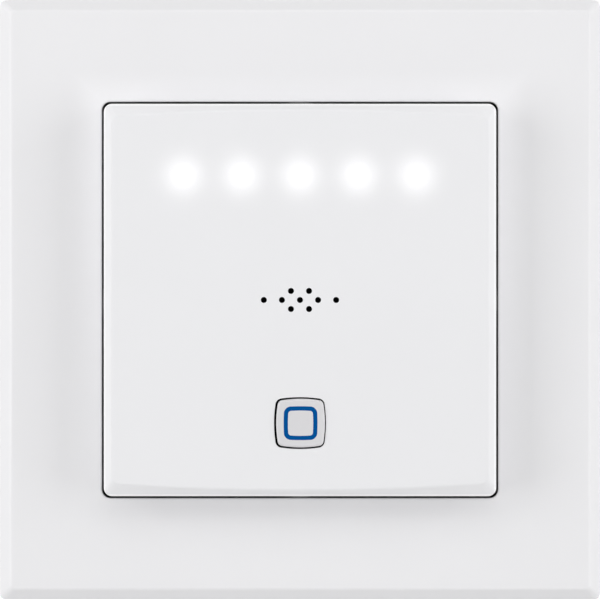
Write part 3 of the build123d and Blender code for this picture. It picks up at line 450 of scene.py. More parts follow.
def circuit_board(name, lacquer, track_pitch_mm=1.27):
    """Lacquered board with tracks, vias and bare laminate edges."""
    finish = Finish(name, lacquer, 0.3)
    drift(finish, lacquer, 6.0, 0.06)
    uneven_gloss(finish, 0.3, 0.05)
    upright = stripes(finish, finish.x, track_pitch_mm, share=0.3)
    across = stripes(finish, finish.z, track_pitch_mm, share=0.3)
    choice = finish.fade(clouds(finish, 7.0, detail=0.0), 0.49, 0.51)
    tracks = finish.maths("ADD", both(finish, choice, upright),
                          both(finish, finish.maths("SUBTRACT", 1.0, choice), across))
    routed = finish.fade(clouds(finish, 5.0, detail=0.0, stretch=(1, 1, 1.3)), 0.46, 0.48)
    tracks = both(finish, tracks, routed)
    finish.cover_up("Base Color", tracks, tone(lacquer, 1.7))
    finish.relief(tracks, 0.03)
    vias(finish)
    laminate_edges(finish)
    return finish


def vias(finish):
    """Tinned rings round a hole painted black as painted shade, at the middles of Voronoi cells."""
    reach = grains(finish, 3.2)[0]
    ring = finish.fade(reach, 0.1, 0.085)
    hole = finish.fade(reach, 0.045, 0.035)
    finish.cover_up("Base Color", ring, VIA_TIN)
    finish.cover_up("Metallic", ring, 1.0)
    finish.cover_up("Base Color", hole, VIA_HOLE_SHADE)


def laminate_edges(finish):
    """Bare laminate wherever the surface doesn't face the room or the wall."""
    facing = finish.node("NewGeometry").outputs["True Normal"]
    facing_y = finish.node("SeparateXYZ", Vector=facing).outputs["Y"]
    edge = finish.fade(finish.maths("ABSOLUTE", facing_y), 0.6, 0.4)
    finish.cover_up("Base Color", edge, LAMINATE)
    layers = both(finish, edge, stripes(finish, finish.y, pitch_mm=0.2, share=0.4, soft=0.2))
    finish.cover_up("Base Color", layers, LAMINATE_LAYER)
    finish.cover_up("Metallic", edge, 0.0)
    finish.cover_up("Roughness", edge, 0.8)


# %% The four boards
BOARD_GREEN = (0.02, 0.14, 0.06)
BOARD_BLUE = (0.02, 0.05, 0.16)
WIDE_PITCH_MM, FINE_PITCH_MM = 2.54, 0.8
dress(circuit_board("main_board_green", BOARD_GREEN), "main_board")
dress(circuit_board("power_board_green", tone(BOARD_GREEN, 0.85), WIDE_PITCH_MM), "power_board")
dress(circuit_board("radio_board_blue", BOARD_BLUE, FINE_PITCH_MM), "radio_board")
dress(circuit_board("sensor_board_green", tone(BOARD_GREEN, 1.1), FINE_PITCH_MM), "air_sensor_base")

# %% [markdown]
# ## Tinned sheet, wire and gold
# The radio's shield and the sensor's can are drawn from thin tinned sheet, and the aerial is tinned wire.
# Tin is soft: it carries fine scratches in all directions, which two stretched noises make. The header's
# pins are gold, a little worn where they slide into their socket, so that the nickel below shows through.

# %% Shields, aerial, leads and pins
TIN = (0.7, 0.7, 0.71)


def tinned(name, colour, roughness, scratch_mm=0.05):
    """Tinned metal with two families of scratches."""
    finish = sheet_metal(name, colour, roughness, line_depth_mm=0.0008, lines=(1, 1, 40))
    scratches = finish.fade(clouds(finish, scratch_mm, detail=1.0, stretch=(50, 50, 1)), 0.6, 0.7)
    finish.cover_up("Roughness", finish.maths("MULTIPLY", scratches, 0.6), roughness + 0.2)
    return finish


dress(tinned("shield_tin", TIN, 0.3), "radio_shield")
dress(tinned("sensor_can_tin", tone(TIN, 0.97), 0.24), "air_sensor_can")
dress(tinned("switch_cap_tin", tone(TIN, 1.05), 0.2), "switch_cap")
dress(tinned("aerial_tin", TIN, 0.28), "antenna")
dress(tinned("lead_tin", tone(TIN, 1.04), 0.33, 0.03), "processor_leads")

GOLD = (0.85, 0.63, 0.25)
WORN_GOLD = (0.66, 0.6, 0.48)
pins_gold = tinned("pins_gold", GOLD, 0.22, 0.03)
pin_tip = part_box("header_pins")[1].y
slid = pins_gold.fade(pins_gold.y, pin_tip - 3.0 * MM, pin_tip - 1.5 * MM)
streaks = pins_gold.fade(clouds(pins_gold, 0.4, stretch=(1, 6, 1)), 0.52, 0.6)
pins_gold.cover_up("Base Color", both(pins_gold, slid, streaks), WORN_GOLD)
dress(pins_gold, "header_pins")

# %% [markdown]
# ## The processor
# The chip is matt moulding compound, full of tiny glassy grains. A round dimple beside its first lead shows
# the assembler which way to turn it.

# %% The chip's black
CHIP_BLACK = (0.02, 0.02, 0.022)
DIMPLE_INSET = 1.1 * MM
DIMPLE_R = 0.42 * MM
chip_low, chip_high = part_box("processor")
chip_black = glass_filled("chip_black", CHIP_BLACK, 0.5)
dimple = chip_black.radius(chip_black.x, chip_black.z, chip_low.x + DIMPLE_INSET, chip_high.z - DIMPLE_INSET)
chip_black.relief(chip_black.fade(dimple, DIMPLE_R - 0.09 * MM, DIMPLE_R), 0.05)
chip_black.cover_up("Roughness", chip_black.fade(dimple, DIMPLE_R, DIMPLE_R - 0.06 * MM), 0.2)
dress(chip_black, "processor")

# %% [markdown]
# ## LEDs, light box and diffuser
# A white LED is a blue one under yellow phosphor, in a white tub, so a yellow disc shows on top. The five
# stand at one pitch, so one disc is enough: the x coordinate is wrapped at that pitch. The light box is
# matt white inside, to mix the light, and the diffuser is milky, with a little light let in below its skin.

# %% The LEDs
LED_WHITE = (0.82, 0.82, 0.78)
PHOSPHOR = (0.85, 0.66, 0.12)
LED_PITCH = float(led_xs[1] - led_xs[0])
KEY_LED_LENGTH = 2.0 * MM


def led_finish(name, first_x, pitch, z, half_x, half_z):
    """White tub with a rounded yellow window over each LED of an evenly spaced row."""
    finish = moulded(name, LED_WHITE, roughness=0.35, skin_mm=0.1, skin_depth_mm=0.001)
    turns = finish.maths("DIVIDE", finish.maths("SUBTRACT", finish.x, first_x - pitch / 2), pitch)
    off_x = finish.maths("MULTIPLY", finish.apart(finish.maths("FRACT", turns), 0.5), pitch / half_x)
    off_z = finish.maths("DIVIDE", finish.apart(finish.z, z), half_z)
    reach = finish.radius(off_x, off_z)
    window = finish.fade(reach, 1.0, 0.94)
    finish.cover_up("Base Color", window, PHOSPHOR)
    finish.relief(window, -0.1)
    return finish


indicator_led = led_finish("indicator_led", float(led_xs[0]), LED_PITCH, LED_Z,
                           half_x=1.25 * MM, half_z=1.05 * MM)
dress(indicator_led, "indicator_leds")
small_low, small_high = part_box("key_leds")
key_led = led_finish("key_led", small_low.x + KEY_LED_LENGTH / 2, small_high.x - small_low.x - KEY_LED_LENGTH,
                     (small_low.z + small_high.z) / 2, half_x=0.6 * MM, half_z=0.4 * MM)
dress(key_led, "key_leds")

# %% The light box and the diffuser
def milky(finish, weight, reach_mm=1.0):
    """Lets light in below the skin, as far as its reach."""
    finish.shader.inputs["Subsurface Weight"].default_value = weight
    finish.shader.inputs["Subsurface Radius"].default_value = (reach_mm * MM,) * 3
    finish.shader.inputs["Subsurface Scale"].default_value = 1.0


BOX_WHITE, DIFFUSER_WHITE = (0.88, 0.88, 0.87), (0.9, 0.9, 0.9)
light_box_white = moulded("light_box_white", BOX_WHITE, roughness=0.65, skin_mm=0.15, skin_depth_mm=0.003)
light_box_white.relief(stripes(light_box_white, light_box_white.y, pitch_mm=0.3, share=0.5, soft=0.2), 0.002)
dress(light_box_white, "light_box")
diffuser_milky = moulded("diffuser_milky", DIFFUSER_WHITE, roughness=0.5, skin_mm=0.08)
milky(diffuser_milky, 0.4)
speckle = diffuser_milky.fade(clouds(diffuser_milky, 0.25, detail=1.0), 0.62, 0.7)
diffuser_milky.cover_up("Roughness", speckle, 0.75)
dress(diffuser_milky, "diffuser_strip")

# %% [markdown]
# ## Foam
# The gasket that seals the sensor against the cover is closed-cell foam, cut from a sheet. Its cut walls
# show the cells as tiny cups: the distance from each Voronoi cell's middle is used as a height, and the
# bottom of each cup is painted darker, as painted shade.

# %% The gasket
FOAM_GREY = (0.07, 0.07, 0.075)
FOAM_HOLLOW_SHADE = (0.03, 0.03, 0.033)
CELL_MM = 0.35
foam_grey = Finish("foam_grey", FOAM_GREY, 0.85)
drift(foam_grey, FOAM_GREY, 2.0, 0.15)
cup = grains(foam_grey, CELL_MM)[0]
foam_grey.relief(cup, 0.12)
# Painted shade: the bottom of each cell's cup is painted darker.
foam_grey.cover_up("Base Color", foam_grey.fade(cup, 0.25, 0.0), FOAM_HOLLOW_SHADE)
dress(foam_grey, "sensor_gasket")

# %% [markdown]
# ## Meshes worked out with numpy
# The next pieces are new ones, and each takes the place of a plain solid of the model. A surface is a grid
# of points worked out as whole arrays: one direction runs along the piece, the other round it. A small
# function turns such a grid into a closed mesh. Rows of quads join neighbouring rings, and each end is
# closed by a fan of triangles to its middle. The volume's sign tells whether the faces point outwards.

# %% Helpers for closed meshes
SHARP_ANGLE = math.radians(35)
SQUARE = ((-1, -1), (1, -1), (1, 1), (-1, 1))


def ring_faces(ring_count, around):
    """Quads between neighbouring rings of points, which are numbered ring by ring."""
    ring, step = np.meshgrid(np.arange(ring_count - 1), np.arange(around), indexing="ij")
    here, there = ring * around + step, ring * around + (step + 1) % around
    return np.stack([here, there, there + around, here + around], -1).reshape(-1, 4)


def closed_tube(rings):
    """Vertices and faces of a closed surface through rings of points, with a fan over each end."""
    ring_count, around, _ = rings.shape
    verts = np.concatenate([rings.reshape(-1, 3), rings[:1].mean(1), rings[-1:].mean(1)])
    step = np.arange(around)
    after = (step + 1) % around
    last = (ring_count - 1) * around
    first_fan = np.stack([after, step, np.full(around, ring_count * around)], -1)
    last_fan = np.stack([last + step, last + after, np.full(around, ring_count * around + 1)], -1)
    faces = ring_faces(ring_count, around).tolist() + first_fan.tolist() + last_fan.tolist()
    return verts, faces


def join(parts):
    """Several closed meshes as one list of vertices and one of faces."""
    verts, faces, count = [], [], 0
    for part_verts, part_faces in parts:
        verts.append(part_verts)
        faces += [[index + count for index in face] for face in part_faces]
        count += len(part_verts)
    return np.concatenate(verts), faces


def make_piece(name, part, finish, body, replaced):
    """A mesh object at the origin that rides on a body and takes the place of a piece of the model."""
    verts, faces = part
    mesh = bpy.data.meshes.new(name)
    mesh.from_pydata(verts.tolist(), [], faces)
    mesh.validate()
    mesh.shade_smooth()
    mesh.set_sharp_from_angle(angle=SHARP_ANGLE)
    mesh.materials.append(finish.material)
    piece = bpy.data.objects.new(name, mesh)
    bpy.context.scene.collection.objects.link(piece)
    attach(piece, body)
    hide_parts(replaced)
    print(name, "has", len(mesh.vertices), "points and", sum(len(f) - 2 for f in faces), "triangles")
    return piece


def volume(part):
    """Signed volume by the divergence theorem: positive where the faces point outwards."""
    verts, faces = part
    corners = np.array([[face[0], face[i], face[i + 1]] for face in faces for i in range(1, len(face) - 1)])
    a, b, c = verts[corners[:, 0]], verts[corners[:, 1]], verts[corners[:, 2]]
    return float((a * np.cross(b, c)).sum() / 6)


def outwards(part):
    """The same mesh with its faces turned outwards."""
    verts, faces = part
    return part if volume(part) > 0 else (verts, [face[::-1] for face in faces])


# %% [markdown]
# ## The dust filter
# Behind the holes lies a woven black mesh that keeps dust off the sensor. The model has a thin plate there.
# The weave is made wire by wire: each wire is a tube whose middle follows a cosine wave, over one of the
# wires that cross it and under the next, and neighbours run half a wave apart. A thin felt lies behind the
# weave, and a pressed rim holds both.

# %% Weave the filter
WIRE_D = 0.1 * MM
WIRE_SIDES = 5
WEAVE_PITCH = 0.23 * MM
STEPS_PER_PITCH = 4
RIM = 0.5 * MM
FELT = 0.04 * MM
FILTER_BLACK = (0.004, 0.004, 0.004)
filter_low, filter_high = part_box("dust_filter")
filter_half = np.array([filter_high.x - filter_low.x, filter_high.z - filter_low.z]) / 2
felt_y = filter_high.y - FELT
weave_y = (filter_low.y + felt_y) / 2
filter_mid_z = (filter_low.z + filter_high.z) / 2
swing = (felt_y - filter_low.y - WIRE_D) / 2


def woven_wire(start, end, offset, phase, lengthwise):
    """Tube round the wave y = swing * cos(pi * s / pitch + phase), s running along x or z."""
    s = np.arange(start, end + 1e-9, WEAVE_PITCH / STEPS_PER_PITCH)
    turn = np.pi * s / WEAVE_PITCH + phase
    wave, slope = swing * np.cos(turn), -swing * np.pi / WEAVE_PITCH * np.sin(turn)
    length = np.sqrt(1 + slope ** 2)
    round_angle = np.arange(WIRE_SIDES) * 2 * np.pi / WIRE_SIDES
    up, side = np.cos(round_angle) * WIRE_D / 2, np.sin(round_angle) * WIRE_D / 2
    along = s[:, None] - (slope / length)[:, None] * up
    height = wave[:, None] + (1 / length)[:, None] * up + weave_y
    across = np.full_like(along, offset) + side
    if lengthwise:
        return closed_tube(np.stack([along, height, across + filter_mid_z], -1))
    return closed_tube(np.stack([across, height, along + filter_mid_z], -1))


def flat_rim(half, width, low, high):
    """Closed square ring of a rectangular section, its four corners mitred."""
    corners = np.array(SQUARE)
    section = [(0, low), (0, high), (-width, high), (-width, low)]
    rings = [[(*(corner * (half + inset)), y) for inset, y in section] for corner in corners]
    verts = np.array(rings)[..., [0, 2, 1]].reshape(-1, 3)
    step, side = np.meshgrid(np.arange(4), np.arange(4), indexing="ij")
    here, there = step * 4, (step + 1) % 4 * 4
    faces = np.stack([here + side, here + (side + 1) % 4, there + (side + 1) % 4, there + side], -1)
    return verts, faces.reshape(-1, 4).tolist()


reach_x, reach_z = filter_half - RIM / 2
count_x, count_z = ((filter_half - RIM) / WEAVE_PITCH).astype(int)
wires = [woven_wire(-reach_x, reach_x, k * WEAVE_PITCH, np.pi * (k % 2), lengthwise=True)
         for k in range(-count_z, count_z + 1)]
wires += [woven_wire(-reach_z, reach_z, k * WEAVE_PITCH, np.pi * (k % 2 + 1), lengthwise=False)
          for k in range(-count_x, count_x + 1)]
rim = flat_rim(filter_half, RIM, filter_low.y, filter_high.y)
rim[0][:, 2] += filter_mid_z
felt_outline = [(side_x * reach_x, side_z * reach_z + filter_mid_z) for side_x, side_z in SQUARE]
felt = closed_tube(np.array([[(x, y, z) for x, z in felt_outline] for y in (felt_y, filter_high.y)]))
filter_black = moulded("filter_black", FILTER_BLACK, roughness=0.8, skin_mm=0.05, amount=0.2)
filter_black.shader.inputs["Specular IOR Level"].default_value = 0.05
woven = join([outwards(part) for part in wires + [rim, felt]])
make_piece("woven_dust_filter", woven, filter_black, "unit", "dust_filter")

# %% [markdown]
# ## The screws
# Eight small screws hold the unit together: four pan heads on the board, four flush ones through the plate.
# In the model they are plain. Here each one is a single closed surface of rings. From the middle of the head
# outwards, the rings dip where they pass through the cross recess. Along the shank the radius follows a
# ridge that winds round it: its phase is the height over the pitch, less the turn round the axis.

# %% The screws' surface
AROUND = 48
RINGS_PER_TURN = 8
turn_round = np.arange(AROUND) * 2 * np.pi / AROUND


def step_down(value, edge, soft):
    """1 below the edge and 0 beyond it, with a straight ramp as wide as soft."""
    return np.clip((edge + soft / 2 - value) / soft, 0, 1)


def cross_recess(radii, arm, width, depth):
    """Depth of a cross: the deeper of two slots, each as long as the arm and sloping at its ends."""
    x, z = radii[:, None] * np.cos(turn_round), radii[:, None] * np.sin(turn_round)
    slot_x = step_down(abs(x), arm, 0.5 * arm) * step_down(abs(z), width / 2, 0.2 * width)
    slot_z = step_down(abs(z), arm, 0.5 * arm) * step_down(abs(x), width / 2, 0.2 * width)
    return depth * np.maximum(slot_x, slot_z)


def screw(place, head_rings, shank_r, shank_start, tip, pitch, recess):
    """Head from (radius, y) rings, then a shank.

    Its thread is r = shank_r - depth * (1 - |2 * fract - 1|), where fract is the phase less its whole turns.
    """
    head_r, head_y = np.array(head_rings).T
    head = np.stack([head_r[:, None] * np.cos(turn_round), head_y[:, None] + cross_recess(head_r, *recess),
                     head_r[:, None] * np.sin(turn_round)], -1)
    y = np.linspace(shank_start, tip, int((tip - shank_start) / pitch * RINGS_PER_TURN))
    phase = y[:, None] / pitch - turn_round / (2 * np.pi)
    ridge = 2 * abs(phase - np.floor(phase) - 0.5)
    thread_depth = 0.32 * pitch
    point = 0.55 + 0.45 * np.clip((tip - y) / (1.2 * pitch), 0, 1)[:, None]
    r = (shank_r - thread_depth * (1 - ridge)) * point
    shank_y = np.broadcast_to(y[:, None], r.shape)
    shank = np.stack([r * np.cos(turn_round), shank_y, r * np.sin(turn_round)], -1)
    part = closed_tube(np.concatenate([head, shank]))
    part[0][:] += (place[0], 0, place[1])
    return outwards(part)


# %% Pan-head screws on the board
def corner_places(node, radius):
    """The four places of round pieces that fill the corners of a node's box."""
    low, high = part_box(node)
    return [(x, z) for x in (low.x + radius, high.x - radius) for z in (low.z + radius, high.z - radius)]


PAN_R, PAN_H, BOARD_SCREW_R = 1.9 * MM, 1.3 * MM, 1.0 * MM
PAN_DOME, PAN_SHOULDER = 0.35 * MM, 0.6 * MM
PAN_PITCH = 0.7 * MM
PAN_RECESS = (1.05 * MM, 0.42 * MM, 0.6 * MM)
ZINC_PLATE, ZINC_YELLOWED = (0.6, 0.6, 0.58), (0.62, 0.6, 0.52)

board_low, board_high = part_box("board_screws")
pan_face = np.concatenate([np.linspace(0.04, 1.0, 15), np.linspace(1.1, 1.9, 7)]) * MM
dome = board_low.y + PAN_DOME * (pan_face / PAN_R) ** 4
head_foot = board_low.y + PAN_H
pan_rings = list(zip(pan_face, dome)) + [(PAN_R, board_low.y + PAN_SHOULDER), (PAN_R, head_foot)]
board_screws = join([screw(place, pan_rings, BOARD_SCREW_R, head_foot, board_high.y, PAN_PITCH, PAN_RECESS)
                     for place in corner_places("board_screws", PAN_R)])
zinc = tinned("zinc_plate", ZINC_PLATE, 0.26, 0.04)
zinc.cover_up("Base Color", zinc.fade(clouds(zinc, 1.5), 0.5, 0.62), ZINC_YELLOWED)
make_piece("threaded_board_screws", board_screws, zinc, "unit", "board_screws")

# %% Flush screws through the plate
FLUSH_R, FLUSH_SHANK_R = 2.3 * MM, 1.25 * MM
FLUSH_PITCH = 0.9 * MM
FLUSH_RECESS = (1.35 * MM, 0.5 * MM, 0.75 * MM)

flush_low, flush_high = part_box("plate_screws")
flush_face = np.concatenate([np.linspace(0.04, 1.3, 17), np.linspace(1.4, 2.3, 6)]) * MM
sink = flush_low.y + FLUSH_R - FLUSH_SHANK_R
flush_rings = [(r, flush_low.y) for r in flush_face] + [(FLUSH_SHANK_R, sink)]
plate_screws = join([screw(place, flush_rings, FLUSH_SHANK_R, sink + 0.05 * MM, flush_high.y, FLUSH_PITCH,
                           FLUSH_RECESS) for place in corner_places("plate_screws", FLUSH_R)])
make_piece("threaded_plate_screws", plate_screws, zinc, "unit", "plate_screws")

# %% [markdown]
# ## The power case
# In the wall box hangs a grey case of flame-retardant plastic. Its skin is coarser than the front's, its
# gloss is uneven where the plastic flowed round the openings, and it has the round marks of the pins on its
# rear. Its lid comes from the same plastic and another mould, so it is a touch lighter.

# %% The case and its lid
CASE_GREY = (0.2, 0.2, 0.21)
case_grey = moulded("case_grey", CASE_GREY, roughness=0.5, skin_mm=0.35, skin_depth_mm=0.008, amount=0.04)
flow = clouds(case_grey, 9.0, detail=3.0, stretch=(3, 1, 1))
case_grey.cover_up("Roughness", case_grey.maths("MULTIPLY", case_grey.fade(flow, 0.45, 0.6), 0.5), 0.38)
pin_marks(case_grey, out_x_mm=17.0, out_z_mm=17.5, diameter_mm=3.0, from_y=0.0)
dress(case_grey, "power_case")
LID_GREY = tone(CASE_GREY, 1.12)
lid_grey = moulded("lid_grey", LID_GREY, roughness=0.5, skin_mm=0.35, skin_depth_mm=0.008, amount=0.04)
pin_marks(lid_grey, out_x_mm=12.0, out_z_mm=15.0, diameter_mm=2.5, from_y=0.0)
dress(lid_grey, "power_lid")

# %% [markdown]
# ## The transformer
# The core is ground ferrite, a dark ceramic with pores and a faint grain from the wheel; the pores are
# painted darker as painted shade. The coil is wound in yellow film tape: each turn overlaps the last, so its
# edges show as fine lines, and the film shines.

# %% Core and coil
FERRITE = (0.06, 0.06, 0.065)
ferrite = Finish("ferrite_grey", FERRITE, 0.6)
drift(ferrite, FERRITE, 1.5, 0.15)
ferrite.relief(clouds(ferrite, 0.05, stretch=(1, 30, 1)), 0.002)
pores_and_shade = ferrite.fade(grains(ferrite, 0.5)[0], 0.16, 0.1)
ferrite.relief(pores_and_shade, -0.05)
# Painted shade: the pores are painted darker than the ceramic.
ferrite.cover_up("Base Color", pores_and_shade, tone(FERRITE, 0.4))
dress(ferrite, "transformer_core")

TAPE = (0.8, 0.52, 0.05)
tape = Finish("winding_tape", TAPE, 0.22)
drift(tape, TAPE, 3.0, 0.05)
lap = stripes(tape, tape.y, pitch_mm=1.6, share=0.5, soft=0.02)
tape.relief(lap, 0.05)
tape.cover_up("Base Color", tape.maths("MULTIPLY", lap, 0.35), tone(TAPE, 0.75))
wrinkles = clouds(tape, 0.8, stretch=(1, 0.3, 1))
tape.relief(wrinkles, 0.05)
tape.shader.inputs["Coat Weight"].default_value = 0.4
dress(tape, "transformer_winding")

# %% [markdown]
# ## The capacitors
# A bulk capacitor is an aluminium can in a dark shrink sleeve. The sleeve leaves the can's end bare, where
# two scored lines let it open safely if it fails, and it carries a pale stripe of minus marks on the side of
# the negative wire. The masks use the distance from each can's axis. The film capacitor across the mains is
# a plain yellow box, filled from below with a paler resin.

# %% The round capacitors
CAN_R = 4.0 * MM
SCORE_HALF = 0.16 * MM
SLEEVE_BLUE = (0.02, 0.03, 0.06)
STRIPE_PALE = (0.55, 0.57, 0.6)
ALUMINIUM = (0.74, 0.74, 0.75)

cans_low, cans_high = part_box("bulk_capacitors")
can_z = (cans_low.z + cans_high.z) / 2
can_middle = (cans_low.x + cans_high.x) / 2
sleeve = moulded("capacitor_sleeve", SLEEVE_BLUE, roughness=0.28, skin_mm=0.4, amount=0.05)
off_can_x = sleeve.apart(sleeve.apart(sleeve.x, can_middle), cans_high.x - CAN_R - can_middle)
off_can_z = sleeve.apart(sleeve.z, can_z)
from_axis = sleeve.radius(off_can_x, off_can_z)
stripe = both(sleeve, sleeve.fade(sleeve.z, can_z + CAN_R * 0.88, can_z + CAN_R * 0.9),
              sleeve.fade(from_axis, CAN_R * 0.97, CAN_R * 0.99))
sleeve.cover_up("Base Color", stripe, STRIPE_PALE)
dashes = both(sleeve, stripes(sleeve, sleeve.y, pitch_mm=2.4, share=0.15, soft=0.03),
              sleeve.fade(off_can_x, 0.75 * MM, 0.65 * MM))
sleeve.cover_up("Base Color", both(sleeve, stripe, dashes), SLEEVE_BLUE)
bare_end = both(sleeve, sleeve.fade(sleeve.y, cans_high.y - 0.1 * MM, cans_high.y - 0.05 * MM),
                sleeve.fade(from_axis, CAN_R * 0.78, CAN_R * 0.76))
score = sleeve.maths("MAXIMUM", sleeve.fade(off_can_x, SCORE_HALF, SCORE_HALF - 0.1 * MM),
                     sleeve.fade(off_can_z, SCORE_HALF, SCORE_HALF - 0.1 * MM))
sleeve.cover_up("Base Color", bare_end, ALUMINIUM)
sleeve.cover_up("Metallic", bare_end, 1.0)
sleeve.relief(both(sleeve, score, bare_end), -0.15)
dress(sleeve, "bulk_capacitors")

# %% The boxed capacitor
FILM_YELLOW = (0.75, 0.5, 0.03)
RESIN = (0.62, 0.5, 0.22)
film_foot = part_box("input_capacitor")[0].y
film_box = moulded("film_box_yellow", FILM_YELLOW, roughness=0.3, skin_mm=0.25, skin_depth_mm=0.004,
                   amount=0.03)
resin = film_box.fade(film_box.y, film_foot + 0.9 * MM, film_foot + 0.5 * MM)
film_box.cover_up("Base Color", resin, RESIN)
film_box.cover_up("Roughness", resin, 0.15)
dress(film_box, "input_capacitor")

# %% [markdown]
# ## The fuse resistor and the varistor
# Both are ceramic bodies on tinned wires. The resistor's lacquer is green with four coloured rings, in brown,
# black, red and gold, which give its value in the general code. The varistor is a disc dipped in blue
# coating, which sags a little and has fine pinholes. The metal shows beyond the ends of the resistor's body
# and beyond the varistor's disc.

# %% The resistor and its rings
def bare_wire(finish, mask):
    """Tinned metal where the mask is 1."""
    finish.cover_up("Base Color", mask, TIN)
    finish.cover_up("Metallic", mask, 1.0)
    finish.cover_up("Roughness", mask, 0.3)


FUSE_HALF = 4.5 * MM
RING_HALF = 0.46 * MM
LACQUER = (0.1, 0.3, 0.16)
RINGS = ((-3.0, (0.2, 0.07, 0.02)), (-1.4, (0.01, 0.01, 0.01)), (0.2, (0.35, 0.015, 0.01)),
         (2.8, (0.6, 0.4, 0.1)))

fuse_low, fuse_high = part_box("fuse_resistor")
fuse_x = (fuse_low.x + fuse_high.x) / 2
lacquer = moulded("resistor_green", LACQUER, roughness=0.35, skin_mm=0.5, skin_depth_mm=0.01, amount=0.08)
along = lacquer.maths("SUBTRACT", lacquer.x, fuse_x)
for ring_at_mm, colour in RINGS:
    off_ring = lacquer.apart(along, ring_at_mm * MM)
    lacquer.cover_up("Base Color", lacquer.fade(off_ring, RING_HALF, RING_HALF - 0.06 * MM), colour)
off_middle = lacquer.apart(lacquer.x, fuse_x)
bare_wire(lacquer, lacquer.fade(off_middle, FUSE_HALF + 0.01 * MM, FUSE_HALF + 0.04 * MM))
dress(lacquer, "fuse_resistor")

# %% The varistor
DIP_BLUE = (0.02, 0.1, 0.3)
varistor_low, varistor_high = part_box("varistor")
disc_r = (varistor_high.x - varistor_low.x) / 2
dip = moulded("varistor_blue", DIP_BLUE, roughness=0.4, skin_mm=0.8, skin_depth_mm=0.03, amount=0.08)
pinholes = dip.fade(grains(dip, 0.45)[0], 0.12, 0.08)
dip.relief(pinholes, -0.04)
off_disc = dip.radius(dip.x, dip.y, (varistor_low.x + varistor_high.x) / 2, varistor_high.y - disc_r)
bare_wire(dip, dip.fade(off_disc, disc_r + 0.02 * MM, disc_r + 0.1 * MM))
dress(dip, "varistor")

# %% [markdown]
# ## The terminals
# On the rear are the terminals: a pale grey block with four wire entries and two orange buttons that let a
# wire go. The block is slightly translucent polyamide with a mottled skin. Steel springs press the wires on
# tinned copper bars. The buttons have a fine grip of ridges on the end that a fingertip or a tool meets.

# %% The block and its buttons
BLOCK_GREY, BLOCK_DEEP_SHADE = (0.55, 0.55, 0.54), (0.3, 0.3, 0.29)
block_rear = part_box("terminal_block")[1].y
block_grey = moulded("terminal_grey", BLOCK_GREY, roughness=0.4, skin_mm=0.5, skin_depth_mm=0.006,
                     amount=0.03)
milky(block_grey, 0.1)
# Painted shade: from 1 mm to 5 mm in from the rear face, into the wire entries, the grey is painted darker.
painted_shade_inside_block = block_grey.fade(block_grey.y, block_rear - 1.0 * MM, block_rear - 5.0 * MM)
block_grey.cover_up("Base Color", block_grey.maths("MULTIPLY", painted_shade_inside_block, 0.4), BLOCK_DEEP_SHADE)
dress(block_grey, "terminal_block")

ORANGE = (0.85, 0.22, 0.02)
button_low, button_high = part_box("release_button_live")
button_orange = moulded("button_orange", ORANGE, roughness=0.35, skin_mm=0.2, skin_depth_mm=0.003,
                        amount=0.03)
at_end = button_orange.fade(button_orange.y, button_high.y - 0.06 * MM, button_high.y - 0.02 * MM)
ridges = stripes(button_orange, button_orange.z, pitch_mm=0.52, share=0.5, soft=0.15, start=button_low.z)
grip = both(button_orange, at_end, ridges)
button_orange.relief(grip, 0.1)
button_orange.cover_up("Base Color", button_orange.maths("MULTIPLY", grip, 0.3), tone(ORANGE, 0.6))
dress(button_orange, "release_button_live", "release_button_neutral")

# %% Bars and springs
COPPER, COPPER_TINNED = (0.8, 0.42, 0.25), (0.74, 0.6, 0.5)
STEEL, HEAT_TINT = (0.5, 0.5, 0.48), (0.42, 0.38, 0.3)
copper = tinned("busbar_copper", COPPER, 0.3)
copper.cover_up("Base Color", copper.fade(clouds(copper, 1.2), 0.48, 0.6), COPPER_TINNED)
dress(copper, "terminal_busbars")
spring_steel = sheet_metal("spring_steel", STEEL, 0.3, line_depth_mm=0.002, lines=(1, 1, 60))
spring_steel.cover_up("Base Color", spring_steel.fade(clouds(spring_steel, 2.5), 0.5, 0.65), HEAT_TINT)
dress(spring_steel, "terminal_springs")

# %% [markdown]
# ## Camera
# The camera looks straight at the unit through a long lens, from 375 mm in front of the wall. The frame then
# just fills the picture: the lens is the sensor's width times the distance to the frame's shoulder, divided
# by the frame's width. A shift of a fraction of a millimetre sets the picture's edges on the frame's edges.

# %% Set up the camera
SHOULDER_DEPTH = 1.7 * MM
CAMERA_REACH = 375 * MM
SENSOR = 36.0
PICTURE_SHIFT = 0.0008
frame_size = frame_high.x - frame_low.x
shoulder_reach = CAMERA_REACH + FRAME_FRONT + SHOULDER_DEPTH
camera_data = bpy.data.cameras.new("camera")
camera = bpy.data.objects.new("camera", camera_data)
bpy.context.scene.collection.objects.link(camera)
camera.location = (0, -CAMERA_REACH, 0)
camera.rotation_euler = (math.radians(90), 0, 0)
camera_data.sensor_width = SENSOR
camera_data.lens = SENSOR * shoulder_reach / frame_size
camera_data.shift_y = PICTURE_SHIFT
camera_data.clip_start = 0.01
bpy.context.scene.camera = camera
print("lens", round(camera_data.lens, 1), "mm")

# %% [markdown]
# ## The studio
# A white object on a white wall is drawn by its shadows alone. Tall soft lamps stand far to the sides and
# rake across the face, which draws the upright bands of shadow beside the cover. Each side has two of them,
# the outer one weaker, so that its band ends softly. A near one above gives the broad shadow below the cover
# and a face that is a little lighter at the top. One behind shows the rear, and a pale world fills the rest.
# The lamps stay at a plain level: a colour renders about as it is written. A white background needs more
# light than that, so the world and the floor show white only to a ray from the camera, and to one that comes
# by way of metal or glass. To light that scatters from the object they are plain and dimmer.

# %% Lamps
LAMP_REACH = 1.2


